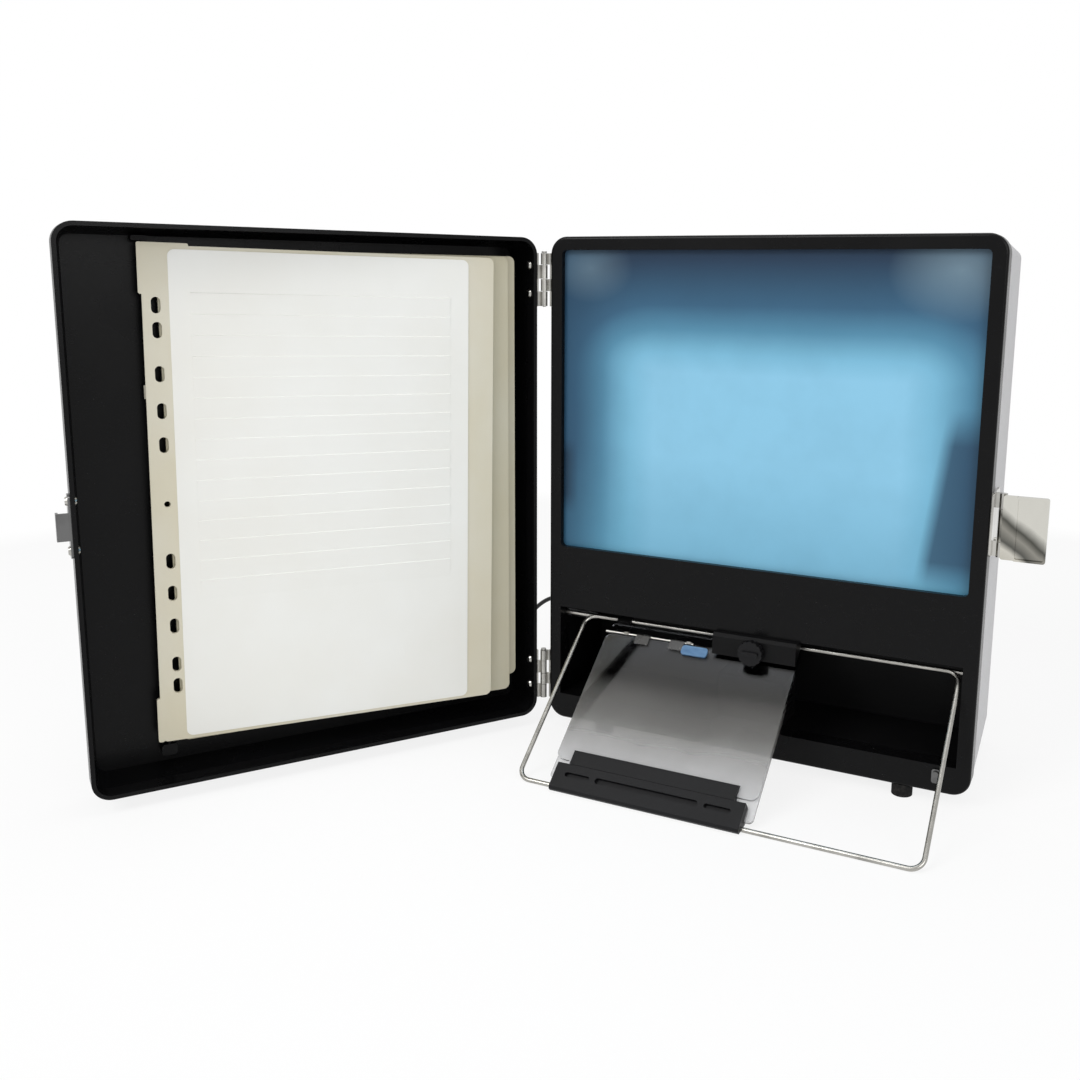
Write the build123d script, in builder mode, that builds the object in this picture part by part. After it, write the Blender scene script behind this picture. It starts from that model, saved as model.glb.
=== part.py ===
"""Case-style microfiche reader: deep projector case, hinged index tray, pull-out film stage.

Millimetres. The case frame has x to the right from the case's front left edge, y to the back
from its front face and z up from its lower edge. Stage pieces are drawn level, with x along the
rails and -y towards the reader, and tray pieces are drawn shut.
"""
import os
from math import atan, cos, degrees, pi, radians, sin, sqrt, tan

from build123d import *

os.makedirs("parts", exist_ok=True)

# ---------------------------------------------------------------- case
CASE_W = 291.0
CASE_H = 336.0
CASE_D = 118.0
CORNER_R = 11.5
FRAME_D = 13.0
WALL = 2.5
SHELL_STEP = 0.4
SHELL_DRAFT = 4.9
FOOT_H = 8.0
FOOT_D = 13.0
FOOT_X0 = 41.5
FOOT_Y0 = 7.2
FOOT_Y1 = 104.0
SIDE_BAR = 9.0
SCREEN_Z0 = 125.5
SCREEN_Z1 = 327.2
SCREEN_T = 3.0
SCREEN_SET = 4.0
SCREEN_LAP = 3.0
SCREEN_FIT = 0.2
RETAINER_T = 2.5
RETAINER_W = 4.5
BOSS_D = 9.0
BOSS_DZ = 102.0
BOSS_X0 = 28.0
SCREW_D = 3.0
SCREW_HEAD_D = 6.0
SCREW_HEAD_H = 2.4
SCREW_L = 20.0
SCREW_SEAT_Y = 26.0

# ---------------------------------------------------------------- recess
RECESS_Z0 = 18.0
RECESS_Z1 = 82.0
RECESS_D = 66.0
LINER_T = 2.0

# ---------------------------------------------------------------- stage
RAIL_Y = 10.0
RAIL_Z = 75.5
TILT = 40.2
WIRE_D = 3.0
STAGE_L = (RAIL_Z + FOOT_H - WIRE_D / 2) / sin(radians(TILT))
STAGE_X0 = 25.5
STAGE_X1 = 279.3
STAGE_R = 8.0
TRAVEL_Y = 50.0
TRAVEL_Z = 17.0
SHOE_L = 8.0
SHOE_H = 4.4
SHOE_T = 1.5
GROOVE_H = 5.0
RUN_FIT = 0.1
GLASS_X0 = 46.0
GLASS_W = 135.0
GLASS_T = 2.0
LOWER_TOP = -0.6
LOWER_Y0 = 3.0
LOWER_Y1 = 122.0
UPPER_Y0 = 12.9
UPPER_Y1 = 109.0
UPPER_TOP = 1.8
ROD_Y = 11.0
ROD_N = 0.9
ROD_D = 1.6
ROD_X0 = 44.5
ROD_X1 = 109.0
CLIP_W = 10.0
CLIP_T = 0.6
HANDLE_X0 = 51.0
HANDLE_W = 125.0
HANDLE_Y0 = 113.0
HANDLE_Y1 = 131.0
HANDLE_TOP = 5.5
GRIP_W = 109.8
GRIP_Y0 = 101.6
GRIP_TOP = 5.0
GUIDE_W = 10.0

# ---------------------------------------------------------------- optics and light
LENS_X = 145.7
LENS_Y = 28.0
LENS_D = 16.0
BARREL_WALL = 1.8
BARREL_Z0 = 79.5
BARREL_Z1 = 108.0
MOUNT_H = 14.0
MOUNT_W = 40.0
FOCUS_FIT = 0.05
BLOCK_X0 = 125.0
BLOCK_X1 = 181.0
BLOCK_Y0 = -6.0
BLOCK_Y1 = 7.5
BLOCK_Z0 = 67.8
BLOCK_Z1 = 78.0
KNOB_X = 152.5
KNOB_Z = 73.4
KNOB_D = 16.4
KNOB_T = 4.8
KNOB_GAP = 1.2
SHAFT_D = 4.0
SHAFT_L = 5.0
HOUSE_W = 46.0
HOUSE_D = 30.0
HOUSE_H = 29.0
HOUSE_T = 1.5
CONDENSER_D = 26.0
LAMP_D = 9.0
LAMP_L = 14.0

# ---------------------------------------------------------------- tray door
DOOR_DROP = 0.8
DOOR_GAP = 0.6
DOOR_D = 33.0
DOOR_BAND = 12.0
DOOR_FLOOR = 3.0
DOOR_INSET = 4.0
DOOR_OPEN = 123.7
PIN_X = -4.8
PIN_Y = 0.3
PIN_D = 2.0
KNUCKLE_D = 4.6
LEAF_T = 1.5
LEAF_W = 12.0
HINGE_H = 35.2
HINGE_Z0 = 12.6
HINGE_Z1 = 290.0
KNUCKLES = (10.0, 8.2, 9.3, 7.7)
RIVET_D = 3.0
RIVET_HEAD = 6.0
RIVET_RISE = 1.2

# ---------------------------------------------------------------- index leaves
LEAF_X1 = 246.4
HIDDEN_X1 = 236.0
LEAF_TILT = 4.0
LEAF_SAG = 0.8
TAB_L = 28.0
TAB_W = 1.8
TAB_RISE = 1.5
INDEX_X0 = 31.5
MIDDLE_X0 = 18.4
REAR_X0 = 12.6
INDEX_Z0 = 23.2
INDEX_H = 301.0
MIDDLE_RISE = -2.0
REAR_RISE = 3.0
REAR_H = 292.0
INDEX_T = 2.4
INDEX_GAP = 0.6
SHEET_T = 0.5
SHEET_X0 = 49.0
SHEET_X1 = 231.8
SPINE_X = 244.2
SPINE_D = 4.2
SPINE_R = 0.9

# ---------------------------------------------------------------- latch
LATCH_Z0 = 150.5
LATCH_H = 38.0
LATCH_OUT = 6.0
LATCH_X = CASE_W + LATCH_OUT
LATCH_Y = 7.0
LATCH_BARREL = 4.4
LEVER_L = 25.0
LEVER_BACK = 2.0
LEVER_T = 1.2
LEVER_RIM = 3.0
BAIL_X = 301.6
BAIL_Y = 8.0
BAIL_L = 19.5
BAIL_D = 2.0
KEEPER_Z = 166.6

# ---------------------------------------------------------------- lead
LEAD_D = 3.2
GLAND_Y = 76.0
GLAND_Z = 66.0
COIL_X = -172.0
COIL_Y = 104.0

ALL = []


def keep(node, name, where=None):
    """Label a finished piece and note where its own frame lies in the case frame."""
    node.part.label = name
    ALL.append((node, where or Location()))


# Frames of the pieces that are drawn level or shut.
STAGE = Location((0, RAIL_Y, RAIL_Z), (TILT, 0, 0))
DOOR = (
    Location((PIN_X, PIN_Y, 0), (0, 0, -DOOR_OPEN))
    * Location((-PIN_X, -PIN_Y - DOOR_GAP, 0))
)
DOOR_PIN_Y = PIN_Y + DOOR_GAP
MID_X = CASE_W / 2
MID_Z = CASE_H / 2
SIDE_X1 = CASE_W - SIDE_BAR
SHELL_ANGLE = degrees(atan(SHELL_DRAFT / (CASE_D - FRAME_D)))
SLOPE = degrees(atan(TRAVEL_Z / TRAVEL_Y))


def shell_inset(y):
    """Distance from the case's edge to the drafted shell's outer face at depth y."""
    return SHELL_STEP + SHELL_DRAFT * (y - FRAME_D) / (CASE_D - FRAME_D)


BACK = Plane(origin=(MID_X, FRAME_D, MID_Z), x_dir=(-1, 0, 0), z_dir=(0, 1, 0))
BOSSES = [
    (BOSS_X0, BOSS_DZ),
    (CASE_W - BOSS_X0, BOSS_DZ),
    (BOSS_X0, RECESS_Z0 - LINER_T - BOSS_D / 2),
    (CASE_W - BOSS_X0, RECESS_Z0 - LINER_T - BOSS_D / 2),
]

# ================================================================ case
# Front frame: one moulding with a screen window above and the stage recess below.
with BuildPart() as front_frame:
    with BuildSketch(Plane.XZ) as face:
        with Locations((MID_X, MID_Z)):
            RectangleRounded(CASE_W, CASE_H, CORNER_R)
    extrude(amount=-FRAME_D)
    fillet(front_frame.faces().sort_by(Axis.Y)[0].edges(), 2.0)
    # Screen window, with a ledge behind it for the screen and its retainer.
    with BuildSketch(Plane.XZ) as window:
        with Locations((MID_X, (SCREEN_Z0 + SCREEN_Z1) / 2)):
            RectangleRounded(CASE_W - 2 * SIDE_BAR, SCREEN_Z1 - SCREEN_Z0, 3)
    extrude(amount=-FRAME_D, mode=Mode.SUBTRACT)
    with BuildSketch(Plane.XZ.offset(-SCREEN_SET)) as ledge:
        with Locations((MID_X, (SCREEN_Z0 + SCREEN_Z1) / 2)):
            RectangleRounded(
                SIDE_X1 - SIDE_BAR + 2 * SCREEN_LAP, SCREEN_Z1 - SCREEN_Z0 + 2 * SCREEN_LAP, 3
            )
    extrude(amount=-FRAME_D, mode=Mode.SUBTRACT)
    # Recess window.
    with BuildSketch(Plane.XZ) as recess_window:
        with Locations((MID_X, (RECESS_Z0 + RECESS_Z1) / 2)):
            Rectangle(SIDE_X1 - SIDE_BAR, RECESS_Z1 - RECESS_Z0)
    extrude(amount=-FRAME_D, mode=Mode.SUBTRACT)
    # The two cross bars are hollow from behind and keep their screw bosses.
    with BuildSketch(Plane.XZ.offset(-3)) as pockets:
        with Locations((MID_X, (RECESS_Z1 + SCREEN_Z0) / 2 - 1)):
            Rectangle(SIDE_X1 - SIDE_BAR - 12, SCREEN_Z0 - RECESS_Z1 - 14)
        with Locations((MID_X, RECESS_Z0 / 2)):
            Rectangle(SIDE_X1 - SIDE_BAR - 12, RECESS_Z0 - 6)
        with Locations(*BOSSES):
            Circle(BOSS_D / 2, mode=Mode.SUBTRACT)
    extrude(amount=-FRAME_D, mode=Mode.SUBTRACT)
    with BuildSketch(Plane.XZ.offset(-FRAME_D)) as pilot:
        with Locations(*BOSSES):
            Circle(SCREW_D / 2)
    extrude(amount=SCREW_L - SCREW_SEAT_Y + FRAME_D, mode=Mode.SUBTRACT)
    # Blind ends of the two sloping grooves that carry the stage shoes.
    with BuildSketch(Plane.YZ.offset(SIDE_BAR - LINER_T)) as groove:
        with Locations(Location((RAIL_Y, RAIL_Z), -SLOPE)):
            with Locations((4, 0)):
                SlotOverall(SHOE_L + GROOVE_H - SHOE_H + 8, GROOVE_H)
    extrude(amount=LINER_T, mode=Mode.SUBTRACT)
    with BuildSketch(Plane.YZ.offset(SIDE_X1)) as groove_right:
        with Locations(Location((RAIL_Y, RAIL_Z), -SLOPE)):
            with Locations((4, 0)):
                SlotOverall(SHOE_L + GROOVE_H - SHOE_H + 8, GROOVE_H)
    extrude(amount=LINER_T, mode=Mode.SUBTRACT)
keep(front_frame, "front_frame")

# Rear shell: drafted tub with screw towers, louvres and the lead and switch openings.
with BuildPart() as case_shell:
    with BuildSketch(BACK) as shell_face:
        RectangleRounded(CASE_W - 2 * SHELL_STEP, CASE_H - 2 * SHELL_STEP, CORNER_R - SHELL_STEP)
    extrude(amount=CASE_D - FRAME_D, taper=SHELL_ANGLE)
    fillet(case_shell.faces().sort_by(Axis.Y)[-1].edges(), 3.5)
    with BuildSketch(BACK) as cavity_face:
        RectangleRounded(
            CASE_W - 2 * (SHELL_STEP + WALL), CASE_H - 2 * (SHELL_STEP + WALL), CORNER_R - WALL
        )
    extrude(amount=CASE_D - FRAME_D - WALL, taper=SHELL_ANGLE, mode=Mode.SUBTRACT)
    with BuildSketch(Plane.XZ.offset(-FRAME_D)) as towers:
        with Locations(*BOSSES):
            Circle(BOSS_D / 2)
    extrude(amount=-(CASE_D - FRAME_D - WALL / 2))
    with BuildSketch(Plane.XZ.offset(-FRAME_D)) as clearance:
        with Locations(*BOSSES):
            Circle(SCREW_D / 2 + 0.2)
    extrude(amount=-(CASE_D - FRAME_D), mode=Mode.SUBTRACT)
    with BuildSketch(Plane.XZ.offset(-SCREW_SEAT_Y)) as bores:
        with Locations(*BOSSES):
            Circle(SCREW_HEAD_D / 2 + 0.4)
    extrude(amount=-(CASE_D - SCREW_SEAT_Y), mode=Mode.SUBTRACT)
    # Louvres behind the lamp and the transformer, and cooling slots below them.
    with BuildSketch(Plane.XZ.offset(-(CASE_D - 2 * WALL))) as louvres:
        with Locations((LENS_X + 70, 62)):
            with GridLocations(54, 9, 2, 9):
                SlotOverall(46, 3.6)
    extrude(amount=-3 * WALL, mode=Mode.SUBTRACT)
    with BuildSketch(Plane.XY.offset(-1)) as floor_slots:
        with Locations((LENS_X, 88)):
            with GridLocations(9, 0, 13, 1):
                SlotOverall(26, 3.6, rotation=90)
    extrude(amount=12, mode=Mode.SUBTRACT)
    with BuildSketch(Plane.XZ.offset(-(CASE_D - 2 * WALL))) as switch_cut:
        with Locations((60, 60)):
            Rectangle(19.4, 13.2)
    extrude(amount=-3 * WALL, mode=Mode.SUBTRACT)
    with BuildSketch(Plane.YZ.offset(-1)) as gland_cut:
        with Locations((GLAND_Y, GLAND_Z)):
            Circle(4.5)
    extrude(amount=12, mode=Mode.SUBTRACT)
keep(case_shell, "case_shell")

with BuildPart() as shell_screws:
    with BuildSketch(Plane.XZ.offset(-SCREW_SEAT_Y)) as screw_heads:
        with Locations(*BOSSES):
            Circle(SCREW_HEAD_D / 2)
    extrude(amount=-SCREW_HEAD_H)
    with BuildSketch(Plane.XZ.offset(-SCREW_SEAT_Y)) as shanks:
        with Locations(*BOSSES):
            Circle(SCREW_D / 2)
    extrude(amount=SCREW_L)
keep(shell_screws, "shell_screws")

with BuildPart() as projection_screen:
    with BuildSketch(Plane.XZ.offset(-SCREEN_SET)) as pane:
        with Locations((MID_X, (SCREEN_Z0 + SCREEN_Z1) / 2)):
            RectangleRounded(
                SIDE_X1 - SIDE_BAR + 2 * (SCREEN_LAP - SCREEN_FIT),
                SCREEN_Z1 - SCREEN_Z0 + 2 * (SCREEN_LAP - SCREEN_FIT),
                3,
            )
    extrude(amount=-SCREEN_T)
keep(projection_screen, "projection_screen")

with BuildPart() as screen_retainer:
    with BuildSketch(Plane.XZ.offset(-SCREEN_SET - SCREEN_T)) as ring:
        with Locations((MID_X, (SCREEN_Z0 + SCREEN_Z1) / 2)):
            RectangleRounded(
                SIDE_X1 - SIDE_BAR + 2 * (SCREEN_LAP - SCREEN_FIT),
                SCREEN_Z1 - SCREEN_Z0 + 2 * (SCREEN_LAP - SCREEN_FIT),
                3,
            )
            RectangleRounded(
                SIDE_X1 - SIDE_BAR + 2 * (SCREEN_LAP - RETAINER_W),
                SCREEN_Z1 - SCREEN_Z0 + 2 * (SCREEN_LAP - RETAINER_W),
                3,
                mode=Mode.SUBTRACT,
            )
    extrude(amount=-RETAINER_T)
keep(screen_retainer, "screen_retainer")

# Recess liner: a shallow box behind the lower window, slotted for the stage and the lens.
with BuildPart() as recess_liner:
    with BuildSketch(Plane.XZ.offset(-FRAME_D)) as liner_face:
        with Locations((MID_X, (RECESS_Z0 + RECESS_Z1) / 2)):
            Rectangle(SIDE_X1 - SIDE_BAR + 2 * LINER_T, RECESS_Z1 - RECESS_Z0 + 2 * LINER_T)
    extrude(amount=-(RECESS_D - FRAME_D + LINER_T))
    with BuildSketch(Plane.XZ.offset(-FRAME_D)) as liner_cavity:
        with Locations((MID_X, (RECESS_Z0 + RECESS_Z1) / 2)):
            Rectangle(SIDE_X1 - SIDE_BAR, RECESS_Z1 - RECESS_Z0)
    extrude(amount=-(RECESS_D - FRAME_D), mode=Mode.SUBTRACT)
    with BuildSketch(Plane.YZ.offset(SIDE_BAR - LINER_T - 1)) as slots:
        with Locations(Location((RAIL_Y, RAIL_Z), -SLOPE)):
            with Locations((sqrt(TRAVEL_Y**2 + TRAVEL_Z**2) / 2, 0)):
                SlotOverall(
                    sqrt(TRAVEL_Y**2 + TRAVEL_Z**2) + SHOE_L + GROOVE_H - SHOE_H, GROOVE_H
                )
    extrude(amount=CASE_W, mode=Mode.SUBTRACT)
    with BuildSketch(Plane.XY.offset(RECESS_Z1 - 1)) as lens_hole:
        with Locations((LENS_X, LENS_Y)):
            Circle(LENS_D / 2 + BARREL_WALL + 1)
    extrude(amount=LINER_T + 2, mode=Mode.SUBTRACT)
keep(recess_liner, "recess_liner")

with BuildPart() as feet:
    with BuildSketch(Plane.XY.offset(-FOOT_H)) as front_feet:
        with Locations((FOOT_X0, FOOT_Y0), (CASE_W - FOOT_X0, FOOT_Y0)):
            Circle(FOOT_D / 2)
    extrude(amount=FOOT_H)
    with BuildSketch(Plane.XY.offset(-FOOT_H)) as rear_feet:
        with Locations((FOOT_X0, FOOT_Y1), (CASE_W - FOOT_X0, FOOT_Y1)):
            Circle(FOOT_D / 2)
    extrude(amount=FOOT_H + shell_inset(FOOT_Y1 + FOOT_D / 2))
    # The rear feet are cut to the drafted floor of the shell.
    with BuildSketch(BACK) as floor_line:
        RectangleRounded(CASE_W - 2 * SHELL_STEP, CASE_H - 2 * SHELL_STEP, CORNER_R - SHELL_STEP)
    extrude(amount=CASE_D - FRAME_D, taper=SHELL_ANGLE, mode=Mode.SUBTRACT)
keep(feet, "feet")

# Stow hook on the bottom bar.
with BuildPart() as stow_hook:
    with BuildSketch(Plane.XZ) as hook_plate:
        with Locations((270.5, 11)):
            RectangleRounded(5, 9, 1.5)
    extrude(amount=1.2)
    with BuildSketch(Plane.XZ.offset(1.2)) as hook_button:
        with Locations((270.5, 12.6)):
            Circle(1.8)
    extrude(amount=1.4)
keep(stow_hook, "stow_hook")

# ================================================================ optics and light
# Focus housing: a wedge under the bezel bar, clear of the sloping glass below it.
with BuildPart() as focus_block:
    with BuildSketch(Plane.YZ.offset(BLOCK_X0)) as wedge:
        with BuildLine() as wedge_line:
            Polyline(
                (BLOCK_Y0, BLOCK_Z0),
                (BLOCK_Y1, BLOCK_Z1),
                (BLOCK_Y1, RECESS_Z1),
                (BLOCK_Y0 + 2, RECESS_Z1),
                (BLOCK_Y0, RECESS_Z1 - 2),
                close=True,
            )
        make_face()
    extrude(amount=BLOCK_X1 - BLOCK_X0)
    with BuildSketch(Plane.XZ.offset(-BLOCK_Y0)) as shaft_hole:
        with Locations((KNOB_X, KNOB_Z)):
            Circle(SHAFT_D / 2 + RUN_FIT)
    extrude(amount=-(SHAFT_L - KNOB_GAP + 0.3), mode=Mode.SUBTRACT)
keep(focus_block, "focus_block")

with BuildPart() as focus_knob:
    with BuildSketch(Plane.XZ.offset(-BLOCK_Y0 + KNOB_GAP)) as knob_disc:
        with Locations((KNOB_X, KNOB_Z)):
            Circle(KNOB_D / 2)
            with PolarLocations(KNOB_D / 2 + 0.5, 14):
                Circle(1.1, mode=Mode.SUBTRACT)
    extrude(amount=KNOB_T)
    with BuildSketch(Plane.XZ.offset(-BLOCK_Y0 + KNOB_GAP + KNOB_T)) as grip_bar:
        with Locations((KNOB_X, KNOB_Z)):
            SlotOverall(KNOB_D - 5, 3)
    extrude(amount=1.6)
    with BuildSketch(Plane.XZ.offset(-BLOCK_Y0 + KNOB_GAP)) as shaft:
        with Locations((KNOB_X, KNOB_Z)):
            Circle(SHAFT_D / 2)
    extrude(amount=-SHAFT_L)
keep(focus_knob, "focus_knob")

with BuildPart() as lens_mount:
    with BuildSketch(Plane.XY.offset(RECESS_Z1 + LINER_T)) as mount_base:
        with Locations((LENS_X, LENS_Y)):
            RectangleRounded(MOUNT_W, MOUNT_W - 12, 3)
            Circle(LENS_D / 2 + BARREL_WALL + FOCUS_FIT, mode=Mode.SUBTRACT)
    extrude(amount=3)
    with BuildSketch(Plane.XY.offset(RECESS_Z1 + LINER_T)) as mount_tube:
        with Locations((LENS_X, LENS_Y)):
            Circle(LENS_D / 2 + BARREL_WALL + 3)
            Circle(LENS_D / 2 + BARREL_WALL + FOCUS_FIT, mode=Mode.SUBTRACT)
    extrude(amount=MOUNT_H)
keep(lens_mount, "lens_mount")

with BuildPart() as lens_barrel:
    with BuildSketch(Plane.XY.offset(BARREL_Z0)) as barrel:
        with Locations((LENS_X, LENS_Y)):
            Circle(LENS_D / 2 + BARREL_WALL)
            Circle(LENS_D / 2, mode=Mode.SUBTRACT)
    extrude(amount=BARREL_Z1 - BARREL_Z0)
    with BuildSketch(Plane.XY.offset(BARREL_Z0 + 7)) as seat:
        with Locations((LENS_X, LENS_Y)):
            Circle(LENS_D / 2)
            Circle(LENS_D / 2 - 1.4, mode=Mode.SUBTRACT)
    extrude(amount=1.5)
keep(lens_barrel, "lens_barrel")

def cap_rise(radius, height):
    """Rise of a spherical cap's surface from its crown at half its radius."""
    sphere = (radius**2 + height**2) / (2 * height)
    return sphere - sqrt(sphere**2 - radius**2 / 4)


# Projection lens: domed glass under the seat inside the barrel.
with BuildPart() as projection_lens:
    with BuildSketch(Plane.XZ.offset(-LENS_Y)) as lens_half:
        with BuildLine() as lens_line:
            Line((LENS_X, BARREL_Z0 + 1), (LENS_X, BARREL_Z0 + 7))
            Line((LENS_X, BARREL_Z0 + 7), (LENS_X + LENS_D / 2, BARREL_Z0 + 7))
            Line((LENS_X + LENS_D / 2, BARREL_Z0 + 7), (LENS_X + LENS_D / 2, BARREL_Z0 + 3.5))
            ThreePointArc(
                (LENS_X + LENS_D / 2, BARREL_Z0 + 3.5),
                (LENS_X + LENS_D / 4, BARREL_Z0 + 1 + cap_rise(LENS_D / 2, 2.5)),
                (LENS_X, BARREL_Z0 + 1),
            )
        make_face()
    revolve(axis=Axis((LENS_X, LENS_Y, 0), (0, 0, 1)))
keep(projection_lens, "projection_lens")

# Small mirror over the lens, held by two cheeks standing on the lens mount.
SMALL = Plane(origin=(LENS_X, LENS_Y, 128), x_dir=(1, 0, 0), z_dir=(0, 0.7071, -0.7071))
with BuildPart() as small_mirror:
    with BuildSketch(SMALL) as small_face:
        Rectangle(44, 34)
    extrude(amount=-2)
keep(small_mirror, "small_mirror")

with BuildPart() as mirror_cheeks:
    with BuildSketch(Plane.YZ.offset(LENS_X - 22 - 1.8)) as cheek:
        with BuildLine() as cheek_line:
            Polyline(
                (LENS_Y - 13, RECESS_Z1 + LINER_T + 3),
                (LENS_Y + 13, RECESS_Z1 + LINER_T + 3),
                (LENS_Y + 13, 143),
                (LENS_Y - 13, 118),
                close=True,
            )
        make_face()
    extrude(amount=1.8)
    with BuildSketch(Plane.YZ.offset(LENS_X + 22)) as cheek_right:
        with BuildLine() as cheek_right_line:
            Polyline(
                (LENS_Y - 13, RECESS_Z1 + LINER_T + 3),
                (LENS_Y + 13, RECESS_Z1 + LINER_T + 3),
                (LENS_Y + 13, 143),
                (LENS_Y - 13, 118),
                close=True,
            )
        make_face()
    extrude(amount=1.8)
    with BuildSketch(Plane.XY.offset(RECESS_Z1 + LINER_T)) as cheek_feet:
        with Locations((LENS_X - 22.9, LENS_Y), (LENS_X + 22.9, LENS_Y)):
            Rectangle(1.8, 26)
    extrude(amount=3)
keep(mirror_cheeks, "mirror_cheeks")

# Main mirror leaning against two gussets on the rear wall.
MIRROR_Y = 98.0
MIRROR_Z = 225.0
MIRROR_LEAN = 8.0
MAIN = Plane(
    origin=(MID_X, MIRROR_Y, MIRROR_Z),
    x_dir=(1, 0, 0),
    z_dir=(0, -cos(radians(MIRROR_LEAN)), sin(radians(MIRROR_LEAN))),
)
with BuildPart() as main_mirror:
    with BuildSketch(MAIN) as mirror_face:
        Rectangle(200, 160)
    extrude(amount=3)
keep(main_mirror, "main_mirror")


def mirror_back(z):
    """Depth of the main mirror's rear face at height z."""
    return MIRROR_Y + (z - MIRROR_Z) * tan(radians(MIRROR_LEAN))


with BuildPart() as mirror_gussets:
    for gusset_x in (MID_X - 80, MID_X + 77):
        with BuildSketch(Plane.YZ.offset(gusset_x)) as gusset:
            with BuildLine() as gusset_line:
                Polyline(
                    (mirror_back(MIRROR_Z - 70), MIRROR_Z - 70),
                    (CASE_D - WALL, MIRROR_Z - 70),
                    (CASE_D - WALL, MIRROR_Z + 70),
                    (mirror_back(MIRROR_Z + 70), MIRROR_Z + 70),
                    close=True,
                )
            make_face()
        extrude(amount=3)
keep(mirror_gussets, "mirror_gussets")

# Lamp house on the recess floor, open below the condenser, with louvred sides.
with BuildPart() as lamp_house:
    with BuildSketch(Plane.XY.offset(RECESS_Z0)) as house_plan:
        with Locations((LENS_X, LENS_Y)):
            RectangleRounded(HOUSE_W, HOUSE_D, 3)
    extrude(amount=HOUSE_H)
    with BuildSketch(Plane.XY.offset(RECESS_Z0)) as house_hollow:
        with Locations((LENS_X, LENS_Y)):
            RectangleRounded(HOUSE_W - 2 * HOUSE_T, HOUSE_D - 2 * HOUSE_T, 2)
    extrude(amount=HOUSE_H - HOUSE_T, mode=Mode.SUBTRACT)
    with BuildSketch(Plane.XY.offset(RECESS_Z0)) as house_window:
        with Locations((LENS_X, LENS_Y)):
            Circle(CONDENSER_D / 2)
    extrude(amount=HOUSE_H, mode=Mode.SUBTRACT)
    with BuildSketch(Plane.YZ.offset(LENS_X - HOUSE_W)) as house_louvres:
        with Locations((LENS_Y, RECESS_Z0 + 13)):
            with GridLocations(0, 5, 1, 4):
                SlotOverall(20, 2)
    extrude(amount=2 * HOUSE_W, mode=Mode.SUBTRACT)
keep(lamp_house, "lamp_house")

with BuildPart() as condenser_lens:
    with BuildSketch(Plane.XZ.offset(-LENS_Y)) as condenser_half:
        with BuildLine() as condenser_line:
            Line((LENS_X, RECESS_Z0 + HOUSE_H - 5), (LENS_X, RECESS_Z0 + HOUSE_H + 1))
            ThreePointArc(
                (LENS_X, RECESS_Z0 + HOUSE_H + 1),
                (LENS_X + CONDENSER_D / 4, RECESS_Z0 + HOUSE_H + 1 - cap_rise(CONDENSER_D / 2, 3)),
                (LENS_X + CONDENSER_D / 2, RECESS_Z0 + HOUSE_H - 2),
            )
            Line(
                (LENS_X + CONDENSER_D / 2, RECESS_Z0 + HOUSE_H - 2),
                (LENS_X + CONDENSER_D / 2, RECESS_Z0 + HOUSE_H - 5),
            )
            Line((LENS_X + CONDENSER_D / 2, RECESS_Z0 + HOUSE_H - 5), (LENS_X, RECESS_Z0 + HOUSE_H - 5))
        make_face()
    revolve(axis=Axis((LENS_X, LENS_Y, 0), (0, 0, 1)))
keep(condenser_lens, "condenser_lens")

with BuildPart() as lamp_socket:
    with BuildSketch(Plane.XY.offset(RECESS_Z0)) as socket_plan:
        with Locations((LENS_X, LENS_Y)):
            Circle(8)
    extrude(amount=3)
    with BuildSketch(Plane.XY.offset(RECESS_Z0 + 3)) as socket_neck:
        with Locations((LENS_X, LENS_Y)):
            Circle(5.5)
    extrude(amount=3)
keep(lamp_socket, "lamp_socket")

# Reflector: thin cone round the lamp, standing on the socket's base.
with BuildPart() as reflector:
    with BuildSketch(Plane.XZ.offset(-LENS_Y)) as reflector_half:
        with BuildLine() as reflector_line:
            Polyline(
                (LENS_X + 5.9, RECESS_Z0 + 3),
                (LENS_X + 7.6, RECESS_Z0 + 3),
                (LENS_X + 12.6, RECESS_Z0 + 15),
                (LENS_X + 11.6, RECESS_Z0 + 15),
                (LENS_X + 5.9, RECESS_Z0 + 4.4),
                close=True,
            )
        make_face()
    revolve(axis=Axis((LENS_X, LENS_Y, 0), (0, 0, 1)))
keep(reflector, "reflector")

with BuildPart() as lamp_bulb:
    with BuildSketch(Plane.XY.offset(RECESS_Z0 + 6)) as bulb_plan:
        with Locations((LENS_X, LENS_Y)):
            Circle(LAMP_D / 2)
    extrude(amount=LAMP_L)
    fillet(lamp_bulb.faces().sort_by(Axis.Z)[-1].edges(), LAMP_D / 2 - 0.3)
keep(lamp_bulb, "lamp_bulb")

# Transformer standing off the rear wall, below the louvres.
TRANS_X = 196.0
with BuildPart() as transformer:
    with BuildSketch(Plane.XZ.offset(-(CASE_D - WALL))) as core:
        with Locations((TRANS_X, 40)):
            Rectangle(54, 44)
    extrude(amount=20)
    with BuildSketch(Plane.XZ.offset(-(CASE_D - WALL))) as winding:
        with Locations((TRANS_X, 40)):
            RectangleRounded(34, 56, 3)
    extrude(amount=32)
    with BuildSketch(Plane.XZ.offset(-(CASE_D - WALL))) as lugs:
        with Locations((TRANS_X, 40)):
            Rectangle(72, 14)
    extrude(amount=2)
keep(transformer, "transformer")

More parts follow.
